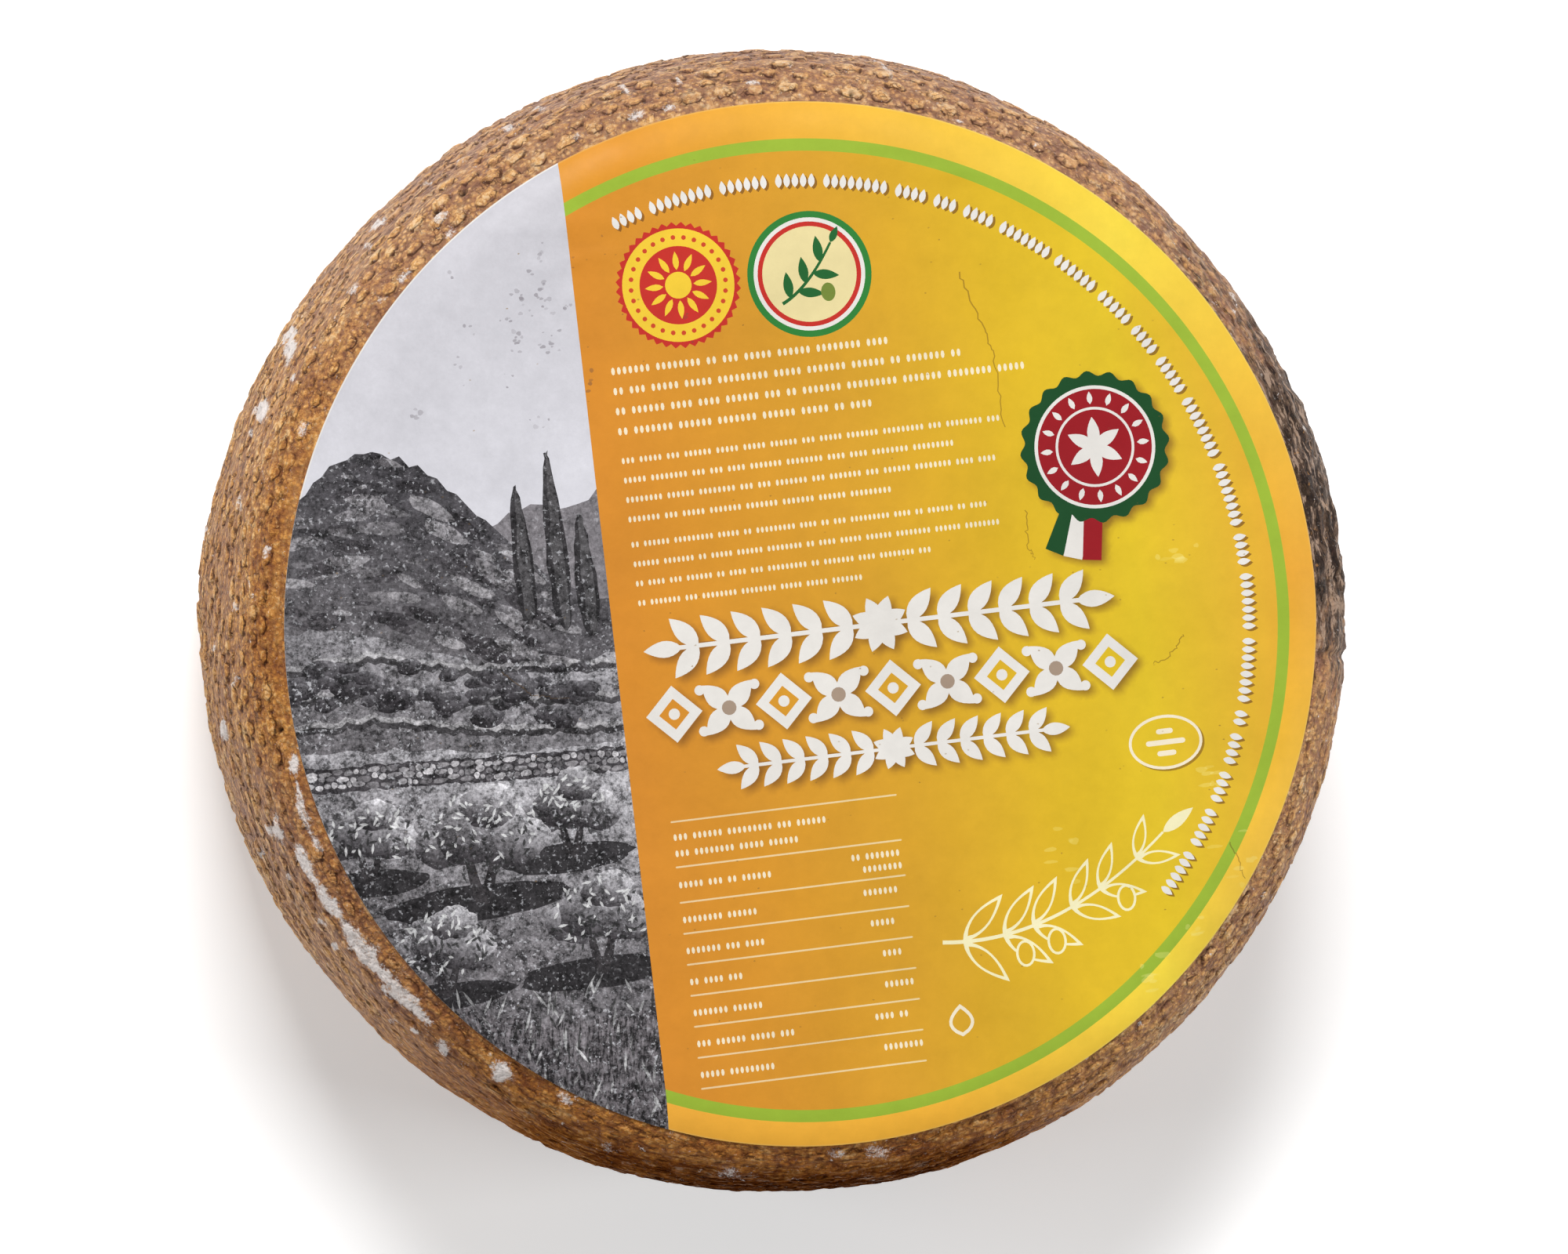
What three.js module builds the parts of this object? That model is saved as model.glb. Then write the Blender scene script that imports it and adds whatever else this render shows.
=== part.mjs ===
import * as THREE from 'three';
import { mergeVertices } from 'three/addons/utils/BufferGeometryUtils.js';

// A whole wheel of aged sheep's-milk cheese, with a round paper label on its top face.
// Millimetres, +Z up. The origin is the centre of the base, and the wheel lies on its flat bottom.

// Body of the wheel
const WHEEL_RADIUS = 100; // widest, at mid-height, over the nubs
const WHEEL_HEIGHT = 82;
const SIDE_BULGE = 5; // how far the side draws in from mid-height to the level of a face
const SHOULDER_RADIUS = 14; // rounding between the side and each flat face

// Rows of small round nubs that the basket mould leaves on the rind
const NUBS_AROUND = 102;
const NUB_ROWS = 13;
const NUB_ROW_PITCH = 6.3;
const NUB_HEIGHT = 0.8;
const NUB_VARIATION = 0.45; // share of its height by which one nub may be lower than the next
const FIRST_NUB_ROW = 4; // from the edge of the label, along the rind

// Slow unevenness of a pressed and turned wheel
const WAVINESS = 0.3;

// A patch where the rind is torn up into crags, on one side below the label
const CRAG_START = THREE.MathUtils.degToRad(-4);
const CRAG_END = THREE.MathUtils.degToRad(34);
const CRAG_REACH = 46; // how far the patch goes down the rind from the edge of the top face
const CRAG_FADE = 0.12; // share of the patch over which it fades out at each end
const CRAG_HEIGHT = 1.5;
const CRAG_DEPTH = 1.3;

// Paper label
const LABEL_RADIUS = 89.7;
const LABEL_THICKNESS = 0.3;
const LABEL_GAP = 0.25; // between the paper and the rind below it
const LABEL_SEGMENTS = 102;

const bodyRadius = WHEEL_RADIUS - NUB_HEIGHT;
const middle = WHEEL_HEIGHT / 2;
const columns = 2 * NUBS_AROUND; // one column over the nubs and one between them

// The section is one wide arc for the side, and a smaller arc that meets it smoothly at each shoulder.
const sideRadius = (SIDE_BULGE ** 2 + middle ** 2) / (2 * SIDE_BULGE);
const sideCentre = bodyRadius - sideRadius;
const shoulderOffset = middle - SHOULDER_RADIUS;
const sideAngle = Math.asin(shoulderOffset / (sideRadius - SHOULDER_RADIUS));
const shoulderCentre = sideCentre + (sideRadius - SHOULDER_RADIUS) * Math.cos(sideAngle);
const shoulderLength = SHOULDER_RADIUS * (Math.PI / 2 - sideAngle);
const sectionLength = 2 * shoulderLength + 2 * sideRadius * sideAngle;
const labelEdge = SHOULDER_RADIUS * Math.asin((LABEL_RADIUS - shoulderCentre) / SHOULDER_RADIUS);

function arcPoint(centreRadius, centreHeight, radius, angle) {
  const radial = centreRadius + radius * Math.cos(angle);
  const height = centreHeight + radius * Math.sin(angle);
  return { radial, height, angle };
}

// Point of the section at a distance along the rind from the edge of the top face,
// with the angle at which the rind faces outwards there.
function sectionAt(distance) {
  const toBottom = sectionLength - distance;
  if (distance < shoulderLength) {
    const angle = Math.PI / 2 - distance / SHOULDER_RADIUS;
    return arcPoint(shoulderCentre, middle + shoulderOffset, SHOULDER_RADIUS, angle);
  }
  if (toBottom < shoulderLength) {
    const angle = toBottom / SHOULDER_RADIUS - Math.PI / 2;
    return arcPoint(shoulderCentre, middle - shoulderOffset, SHOULDER_RADIUS, angle);
  }
  const angle = sideAngle - (distance - shoulderLength) / sideRadius;
  return arcPoint(sideCentre, middle, sideRadius, angle);
}

// Levels down the section: a valley above each row of nubs, the row itself, and a last valley.
function reliefLevels() {
  const levels = [];
  const firstValley = labelEdge + FIRST_NUB_ROW - NUB_ROW_PITCH / 2;
  for (let half = 0; half <= 2 * NUB_ROWS; half += 1) {
    levels.push({ distance: firstValley + (half * NUB_ROW_PITCH) / 2, onNubRow: half % 2 === 1 });
  }
  return levels;
}

// Repeatable scatter from 0 to 1 for one place of the grid.
function scatter(column, row) {
  const value = Math.sin(column * 12.9898 + row * 78.233) * 43758.5453;
  return value - Math.floor(value);
}

function nubHeight(column, row, onNubRow) {
  if (!onNubRow || column % 2 === 1) return 0;
  return NUB_HEIGHT * (1 - NUB_VARIATION * scatter(column, row));
}

function waviness(azimuth, distance) {
  const down = distance / sectionLength;
  const ridges = Math.sin(3 * azimuth + 5 * down + 0.8) + Math.sin(7 * azimuth - 4 * down + 2.1);
  const ripples = Math.sin(13 * azimuth + 9 * down) + Math.sin(19 * azimuth - 7 * down + 4);
  return WAVINESS * (0.6 * ridges + 0.3 * ripples);
}

// 1 inside the craggy patch, falling smoothly to 0 at its borders.
function cragShare(azimuth, distance) {
  const turn = azimuth > Math.PI ? azimuth - 2 * Math.PI : azimuth;
  const along = (turn - CRAG_START) / (CRAG_END - CRAG_START);
  const down = (distance - labelEdge) / (CRAG_REACH - labelEdge);
  const ends = Math.min(along, 1 - along);
  return THREE.MathUtils.smoothstep(ends, 0, CRAG_FADE) * THREE.MathUtils.smoothstep(1 - down, 0, 0.5);
}

function cragHeight(column, row, share) {
  return share * (scatter(column + 0.5, row) * (CRAG_HEIGHT + CRAG_DEPTH) - CRAG_DEPTH);
}

// Height of the rind over the plain section, fading to nothing beside the label and the base.
function rindRelief(column, row, level) {
  const azimuth = (2 * Math.PI * column) / columns;
  const fade = Math.min(1, row / 2, (sectionLength - level.distance) / NUB_ROW_PITCH);
  const crags = cragShare(azimuth, level.distance);
  const nub = (1 - crags) * nubHeight(column, row, level.onNubRow);
  return nub + fade * (waviness(azimuth, level.distance) + cragHeight(column, row, crags));
}

function lathe(outline, segments) {
  const points = outline.map(([radial, height]) => new THREE.Vector2(radial, height));
  const geometry = new THREE.LatheGeometry(points, segments, Math.PI / 2);
  geometry.rotateX(Math.PI / 2);
  return geometry;
}

function closed(geometry) {
  geometry.deleteAttribute('normal');
  geometry.deleteAttribute('uv');
  const merged = mergeVertices(geometry, 1e-4);
  merged.computeVertexNormals();
  return merged;
}

function wheelGeometry() {
  const levels = reliefLevels().reverse();
  const rows = levels.map((level) => sectionAt(level.distance));
  const outline = [[0, 0], [shoulderCentre, 0]];
  for (const row of rows) outline.push([row.radial, row.height]);
  outline.push([shoulderCentre, WHEEL_HEIGHT], [0, WHEEL_HEIGHT]);
  const geometry = lathe(outline, columns);

  const positions = geometry.attributes.position;
  for (let index = 0; index < positions.count; index += 1) {
    const column = Math.floor(index / outline.length) % columns;
    const step = (index % outline.length) - 2; // the first two points of the outline are the base
    if (step < 0 || step >= levels.length) continue;
    const azimuth = (2 * Math.PI * column) / columns;
    const relief = rindRelief(column, levels.length - 1 - step, levels[step]);
    const radial = rows[step].radial + relief * Math.cos(rows[step].angle);
    const height = rows[step].height + relief * Math.sin(rows[step].angle);
    positions.setXYZ(index, radial * Math.cos(azimuth), radial * Math.sin(azimuth), height);
  }
  return closed(geometry);
}

// The paper lies flat on the top face and bends down over the start of the shoulder.
function labelGeometry() {
  const firstLevel = sectionAt(reliefLevels()[0].distance);
  const slope = (firstLevel.height - WHEEL_HEIGHT) / (firstLevel.radial - shoulderCentre);
  const flatHeight = WHEEL_HEIGHT + LABEL_GAP;
  const edgeHeight = flatHeight + slope * (LABEL_RADIUS - shoulderCentre);
  const outline = [
    [0, flatHeight],
    [shoulderCentre, flatHeight],
    [LABEL_RADIUS, edgeHeight],
    [LABEL_RADIUS, edgeHeight + LABEL_THICKNESS],
    [shoulderCentre, flatHeight + LABEL_THICKNESS],
    [0, flatHeight + LABEL_THICKNESS],
  ];
  return closed(lathe(outline, LABEL_SEGMENTS));
}

function namedMesh(name, geometry, color, roughness) {
  const material = new THREE.MeshStandardMaterial({ color, roughness, metalness: 0 });
  const mesh = new THREE.Mesh(geometry, material);
  mesh.name = name;
  return mesh;
}

const wheel = new THREE.Group();
wheel.add(namedMesh('cheese_wheel', wheelGeometry(), '#a2764d', 0.75));
wheel.add(namedMesh('paper_label', labelGeometry(), '#e4b540', 0.5));

export default wheel;
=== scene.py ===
import math

import bpy
import numpy as np
from mathutils import Matrix, Vector
from mathutils.geometry import delaunay_2d_cdt


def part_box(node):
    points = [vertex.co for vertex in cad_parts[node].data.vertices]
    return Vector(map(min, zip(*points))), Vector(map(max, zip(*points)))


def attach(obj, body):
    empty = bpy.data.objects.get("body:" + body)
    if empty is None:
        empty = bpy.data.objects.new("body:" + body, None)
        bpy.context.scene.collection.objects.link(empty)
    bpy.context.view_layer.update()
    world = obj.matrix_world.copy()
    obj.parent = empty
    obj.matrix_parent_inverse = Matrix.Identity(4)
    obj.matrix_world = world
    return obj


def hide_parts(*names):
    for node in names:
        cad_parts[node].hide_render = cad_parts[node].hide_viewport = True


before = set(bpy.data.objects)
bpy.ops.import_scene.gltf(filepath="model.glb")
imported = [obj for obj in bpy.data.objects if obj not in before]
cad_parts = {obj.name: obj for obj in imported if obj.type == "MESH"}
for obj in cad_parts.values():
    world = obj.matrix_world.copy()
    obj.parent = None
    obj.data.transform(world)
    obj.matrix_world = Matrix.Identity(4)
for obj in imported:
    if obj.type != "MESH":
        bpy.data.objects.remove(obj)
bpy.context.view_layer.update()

# All shapes below are worked out in millimetres and turned into metres as each mesh is made.
MM = 0.001
FULL_TURN = 2 * math.pi

# Form of the wheel, from the frame
wheel_low, wheel_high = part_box("cheese_wheel")
label_low, label_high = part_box("paper_label")
WHEEL_HEIGHT = (wheel_high.z - wheel_low.z) / MM
WHEEL_RADIUS = (wheel_high.x - wheel_low.x + wheel_high.y - wheel_low.y) / 4 / MM
LABEL_RADIUS = (label_high.x - label_low.x) / 2 / MM
SIDE_BULGE = 5.0  # how far the side draws in from mid-height to the level of a face
SHOULDER_RADIUS = 14.0

# Rind relief
FRAME_NUB_HEIGHT = 0.8  # of the frame's nubs, over the wheel's body
NUB_RISE = 0.58  # of the nubs over the rind beside them
NUBS_AROUND = 102
ROW_STEP = 3.3  # from one row of nubs to the next
FIRST_NUB_ROW = 2.8  # from the edge of the label, along the rind
BASE_NUB_PITCH = 6.2  # spacing of the nubs around each ring of the base
BASE_SINK = 0.55  # how far the base lies inside the frame's, so that its nubs reach the floor
GAP_SINK = 0.25  # and how much further in it lies between them
SEAT = 0.22  # how far the rind under the label stands over the frame's, to meet the paper
WAVINESS = 0.3
CRAG_HEIGHT = 1.7
NOTCH_DEPTH = 0.6  # of the notch that shows in the outline at the right
HOLE_DEPTH = 1.1
MOULD_THICKNESS = 0.12

# Each nub's size is a share of the usual one, and its length and width are shares of that size.
LEAST_SIZE = 0.74
SIZE_RANGE = 0.4
LEAST_LENGTH = 1.1  # around the wheel
LENGTH_RANGE = 0.35
NUB_WIDTH = 0.78  # down the wheel

# Nubs of the main rows, and of the rows between them, which are smaller and less regular
NUB_RADII = np.array([1.0, 0.88]) * 1.38
NUB_SHARES = np.array([0.96, 0.84])  # of the places that have a nub
STRAY_AROUND = np.array([1.0, 2.2])  # a nub lies up to half of this to either side of its place
STRAY_DOWN = np.array([0.9, 1.8])  # and up to half of this over or under it

# ---------------------------------------------------------------- numbers and noise


def smoothstep(value, low, high):
    share = np.clip((value - low) / (high - low), 0, 1)
    return share * share * (3 - 2 * share)


def wrapped(angle):
    """The same angle between half a turn back and half a turn on."""
    return (angle + math.pi) % FULL_TURN - math.pi


def polar(radius, angle):
    return np.column_stack([radius * np.cos(angle), radius * np.sin(angle)])


def around(azimuth, turns, values):
    """What a course round the wheel, given at azimuths in degrees, comes to at each azimuth."""
    return np.interp(np.degrees(azimuth) % 360, turns, values, period=360)


def scatter(*numbers):
    """Repeatable values from 0 to 1 for whole numbers or arrays of them."""
    mixed = np.zeros(np.broadcast(*numbers).shape, np.uint64)
    for factor, number in zip((73856093, 19349663, 83492791, 49979687), numbers):
        mixed = mixed ^ (np.asarray(number).astype(np.int64).astype(np.uint64) * np.uint64(factor))
    mixed = (mixed ^ (mixed >> np.uint64(13))) * np.uint64(0x9E3779B97F4A7C15)
    mixed = (mixed ^ (mixed >> np.uint64(29))) * np.uint64(0xBF58476D1CE4E5B9)
    return ((mixed >> np.uint64(40)) & np.uint64(0xFFFF)).astype(float) / 0xFFFF


def lumps(points, size, seed):
    """Smooth noise from -1 to 1 whose lumps have about the given size in millimetres."""
    scaled = points / size
    cell = np.floor(scaled).astype(np.int64)
    part = scaled - cell
    part = part * part * (3 - 2 * part)
    total = np.zeros(len(points))
    for corner in np.ndindex(2, 2, 2):
        weight = np.prod(np.where(corner, part, 1 - part), axis=1)
        total += weight * scatter(*(cell + corner).T, seed)
    return 2 * total - 1


def ridges(points, size, seed):
    """Noise from 0 to 1 that is high along narrow winding ridges."""
    return 1 - np.abs(lumps(points, size, seed))


# ---------------------------------------------------------------- section of the wheel


class Section:
    """The wheel's section: a wide arc for the side that meets a smaller arc at each shoulder.

    A distance runs along it from the edge of the top face, and on over the base.
    It is below 0 on the top.
    """

    def __init__(self, widest, height):
        self.middle = height / 2
        self.side_radius = (SIDE_BULGE**2 + self.middle**2) / (2 * SIDE_BULGE)
        self.side_centre = widest - self.side_radius
        self.offset = self.middle - SHOULDER_RADIUS
        reach = self.side_radius - SHOULDER_RADIUS
        self.side_angle = math.asin(self.offset / reach)
        self.flat_radius = self.side_centre + reach * math.cos(self.side_angle)
        self.shoulder = SHOULDER_RADIUS * (math.pi / 2 - self.side_angle)
        self.length = 2 * self.shoulder + 2 * self.side_radius * self.side_angle
        bent = math.asin((LABEL_RADIUS - self.flat_radius) / SHOULDER_RADIUS)
        self.label_edge = SHOULDER_RADIUS * bent
        self.base_middle = self.length + self.flat_radius

    def at(self, distance):
        """Radius, height and outward angle for an array of distances."""
        distance = np.asarray(distance, float)
        upper = math.pi / 2 - np.clip(distance, 0, None) / SHOULDER_RADIUS
        lower = np.clip(self.length - distance, 0, None) / SHOULDER_RADIUS - math.pi / 2
        side = self.side_angle - (distance - self.shoulder) / self.side_radius
        parts = [distance < self.shoulder, distance > self.length - self.shoulder]
        angle = np.select(parts, [upper, lower], side)
        centre = np.select(parts, [self.flat_radius] * 2, self.side_centre)
        rise = np.select(parts, [self.middle + self.offset, self.middle - self.offset], self.middle)
        bend = np.select(parts, [SHOULDER_RADIUS] * 2, self.side_radius)
        on_face = np.minimum(distance, 0) + np.minimum(self.length - distance, 0)
        return centre + bend * np.cos(angle) + on_face, rise + bend * np.sin(angle), angle


section = Section(WHEEL_RADIUS - FRAME_NUB_HEIGHT, WHEEL_HEIGHT)

# ---------------------------------------------------------------- rind mesh

SIDE_SPACING = 0.76  # between points of the mesh where the rind shows most
LOW_SPACING = 1.08  # on the lower half of the side
BASE_SPACING = 1.75
TOP_SPACING = 5.0
ROW_SHARE = math.sqrt(3) / 2  # rows of points are this share of their spacing apart
SEAT_REACH = 2.5  # how far in under the label the close points start
CLOSE_REACH = 44  # and how far down the rind they go


def rind_levels():
    """Distance and spacing of each ring of points, from the top's middle to the base's."""
    seat = section.label_edge - SEAT_REACH
    starts = (-section.flat_radius, 0, seat, CLOSE_REACH, section.length, section.base_middle)
    spacings = (TOP_SPACING, 2 * SIDE_SPACING, SIDE_SPACING, LOW_SPACING, BASE_SPACING)
    levels = []
    for start, end, spacing in zip(starts, starts[1:], spacings):
        steps = max(1, round((end - start) / (spacing * ROW_SHARE)))
        levels += [(start + (end - start) * step / steps, spacing) for step in range(steps)]
    return [*levels, (section.base_middle, BASE_SPACING)]


def ring_points(levels):
    """Azimuth and distance of every point, and the azimuths of each ring."""
    rings = []
    for index, (distance, spacing) in enumerate(levels):
        radius = float(section.at(distance)[0])
        count = 1 if radius < spacing / 2 else max(6, round(FULL_TURN * radius / spacing))
        rings.append((np.arange(count) + 0.5 * (index % 2)) * FULL_TURN / count)
    distances = np.concatenate([np.full(len(r), d) for r, (d, _) in zip(rings, levels)])
    return np.concatenate(rings), distances, rings


def stitch(rings):
    """Triangles between each ring and the next, whatever their numbers of points."""
    triangles = []
    start = 0

    def azimuth(ring, index):
        turns, place = divmod(index, len(ring))
        return ring[place] + FULL_TURN * turns if len(ring) > 1 else math.inf

    for upper, lower in zip(rings, rings[1:]):
        below = start + len(upper)
        high, low = len(upper), len(lower)
        i = j = 0
        for _ in range(high * (high > 1) + low * (low > 1)):
            next_lower = azimuth(lower, j + 1) if j < low else math.inf
            if i < high and high > 1 and azimuth(upper, i + 1) <= next_lower:
                triangles.append((start + i % high, below + j % low, start + (i + 1) % high))
                i += 1
            else:
                triangles.append((start + i % high, below + j % low, below + (j + 1) % low))
                j += 1
        start = below
    return np.array(triangles)


# How far the rows of nubs stray from level: azimuths in degrees, and millimetres down at them
ROW_TURNS = (90, 118, 132, 142, 152, 162, 176, 196, 215)
ROW_SHIFTS = (0.0, 0.0, -1.4, -0.9, 0.0, 0.6, 2.1, 1.8, 0.0)

NO_NUB = 9.0  # distance from the rim where a place has no nub


def nearest_nub(azimuth, distance):
    """Distance out from the nearest nub's rim, and the way out, its radius, tone and size.

    The basket mould leaves rows of nubs, with rows of smaller ones staggered in between.
    """
    distance = distance - around(azimuth, ROW_TURNS, ROW_SHIFTS)
    first = section.label_edge + FIRST_NUB_ROW
    row_here = np.round((distance - first) / ROW_STEP).astype(int)
    best = np.full(len(azimuth), np.inf)
    found = np.zeros((5, len(azimuth)))
    for row in (row_here - 1, row_here, row_here + 1):
        between = row % 2
        level = first + row * ROW_STEP
        ring_radius = np.maximum(section.at(level)[0], 0.1)
        on_base = np.round(FULL_TURN * ring_radius / BASE_NUB_PITCH)
        count = np.where(level > section.length, on_base, NUBS_AROUND)
        count = np.maximum(count, 1).astype(int)
        place = np.round(azimuth / FULL_TURN * count - between / 2).astype(int)
        for column in (place - 1, place, place + 1):
            draw = [scatter(column % count, row, seed) for seed in range(11, 18)]
            turn = (column + between / 2) * FULL_TURN / count
            out_around = (azimuth - turn) * ring_radius - STRAY_AROUND[between] * (draw[0] - 0.5)
            out_around = out_around / (LEAST_LENGTH + LENGTH_RANGE * draw[4])
            out_down = (distance - level - STRAY_DOWN[between] * (draw[1] - 0.5)) / NUB_WIDTH
            way = np.arctan2(out_down, out_around)
            lobes = 0.08 * np.sin(3 * way + 6 * draw[5]), 0.06 * np.sin(5 * way + 9 * draw[6])
            radius = NUB_RADII[between] * (LEAST_SIZE + SIZE_RANGE * draw[2])
            radius = radius * (1 + lobes[0] + lobes[1])
            away = np.hypot(out_around, out_down)
            present = (draw[3] < NUB_SHARES[between]) & (row >= -1)
            rim = np.where(present, away - radius, NO_NUB)
            closer = rim < best
            best = np.where(closer, rim, best)
            ways = out_around / (away + 1e-6), out_down / (away + 1e-6)
            found = np.where(closer, (*ways, radius, draw[5], draw[2]), found)
    return best, found


SNAP = 0.4  # points this near to a rim are drawn to just inside or just outside it
RIM_HALF = 0.12


def snap_to_rims(azimuth, distance, movable):
    """Draws points on to the nubs' rims, so that the edges of the mesh follow them."""
    radius = np.maximum(section.at(distance)[0], 0.1)
    rim, (across, down, *_rest) = nearest_nub(azimuth, distance)
    near = movable & (np.abs(rim) < SNAP)
    shift = np.where(near, np.sign(rim) * RIM_HALF - rim, 0)
    return azimuth + shift * across / radius, distance + shift * down


def arc_share(azimuth, start, end, fade):
    """1 between two azimuths in degrees, falling to 0 over fade degrees outside them."""
    off = np.degrees(np.abs(wrapped(azimuth - math.radians((start + end) / 2))))
    return 1 - smoothstep(off, (end - start) / 2, (end - start) / 2 + fade)


CRAG_FADE = (28, 50)  # the torn patch fades out between these distances down the rind


def crag_share(azimuth, distance):
    """The torn patch: 1 inside it, 0 outside. It reaches further round away from the label."""
    turn = np.degrees(wrapped(azimuth))
    far_end = 25 + 9 * smoothstep(distance, 9, 15)
    along = smoothstep(turn, -5, 7) * (1 - smoothstep(turn, far_end - 2.5, far_end + 1.5))
    return along * (1 - smoothstep(distance, *CRAG_FADE))


def section_points(azimuth, distance, relief=0.0):
    """Points in millimetres on the section turned about the wheel's axis, raised by relief."""
    radial, height, angle = section.at(distance)
    outward = polar(radial + relief * np.cos(angle), azimuth)
    return np.column_stack([outward, height + relief * np.sin(angle)])


def stretched(azimuth, distance, along, down):
    """Places for noise whose lumps are longer around the wheel than down it."""
    return np.column_stack([polar(WHEEL_RADIUS / along, azimuth), distance / down])


def waviness(azimuth, distance):
    down = distance / section.length
    slow = np.sin(3 * azimuth + 5 * down + 0.8) + np.sin(7 * azimuth - 4 * down + 2.1)
    quick = np.sin(13 * azimuth + 9 * down) + np.sin(19 * azimuth - 7 * down + 4)
    return WAVINESS * (0.6 * slow + 0.3 * quick)


# How far the wheel is out of round: azimuths in degrees, and millimetres outwards at them
ROUND_TURNS = (0, 48, 66, 84, 100, 120, 160, 190, 215, 240, 252, 268, 288, 305, 322, 345)
ROUND_SHIFTS = (0.1, 0.2, 0.65, 1.15, 0.65, 0.35, 0, 0.1, -0.35, 0.5, 1.1, 0.4, 1.5, 1, 0.5, 0.75)


def nub_profile(rim, radius, height, side):
    """Height of a nub: a flat dome with a steep rim, and a crevice at its foot by the label."""
    dome = 1 - 0.15 * np.clip(1 + rim / radius, 0, 1) ** 2
    wall = 1 - smoothstep(rim, -RIM_HALF, RIM_HALF)
    crevice = (0.1 + 0.3 * smoothstep(side, -0.3, 0.6)) * np.exp(-((rim / 0.5) ** 2)) * (rim > 0)
    return height * (dome * wall) - crevice


def rind_relief(azimuth, distance, points):
    """Relief over the plain section in millimetres, and what the material needs to know of it."""
    rim, (_across, down, radius, tone, size) = nearest_nub(azimuth, distance)
    fade = smoothstep(distance, section.label_edge - 0.1, section.label_edge + 1.0)
    on_base = smoothstep(distance, section.length - 6, section.length)
    streaks = course_share("streaks", azimuth, distance)
    rubbed = 0.9 * arc_share(azimuth, 166, 196, 10) * (1 - smoothstep(distance, 9.5, 11.5))
    stand = 1 - np.maximum(0.75 * streaks, rubbed)  # how much the nubs stand out

    patchy = np.clip(0.8 + 0.5 * lumps(points, 9.0, 5), 0.35, 1.15)
    height = NUB_RISE * (0.6 + 0.4 * size) * patchy
    nubs = nub_profile(rim, radius, height, -down) * stand
    nubs += 0.4 * streaks * (ridges(stretched(azimuth, distance, 6.0, 1.7), 1.0, 41) - 0.7)
    grain = 0.1 * lumps(points, 2.4, 21) + 0.15 * lumps(points, 1.4, 22)
    craggy = CRAG_HEIGHT * (ridges(stretched(azimuth, distance, 9.0, 1.9), 1.0, 31) - 0.72)
    craggy += 0.5 * lumps(points, 3.2, 32) + 0.35 * lumps(points, 1.4, 33)
    notch = NOTCH_DEPTH * arc_share(azimuth, 356.3, 356.8, 0.5) * (1 - smoothstep(distance, 30, 36))

    crags = crag_share(azimuth, distance)
    relief = (1 - crags) * (nubs + grain) + crags * craggy - notch
    slow = waviness(azimuth, distance)
    slow += around(azimuth, ROUND_TURNS, ROUND_SHIFTS) * smoothstep(distance, 8, 26)
    relief = fade * (relief + (1 - on_base) * slow) - GAP_SINK * on_base * (nubs < 0.25)
    facts = {"height": nubs + grain, "rim": rim, "side": -down, "tone": tone, "stand": stand * fade}
    return relief, {**facts, "streaks": streaks}


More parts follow.
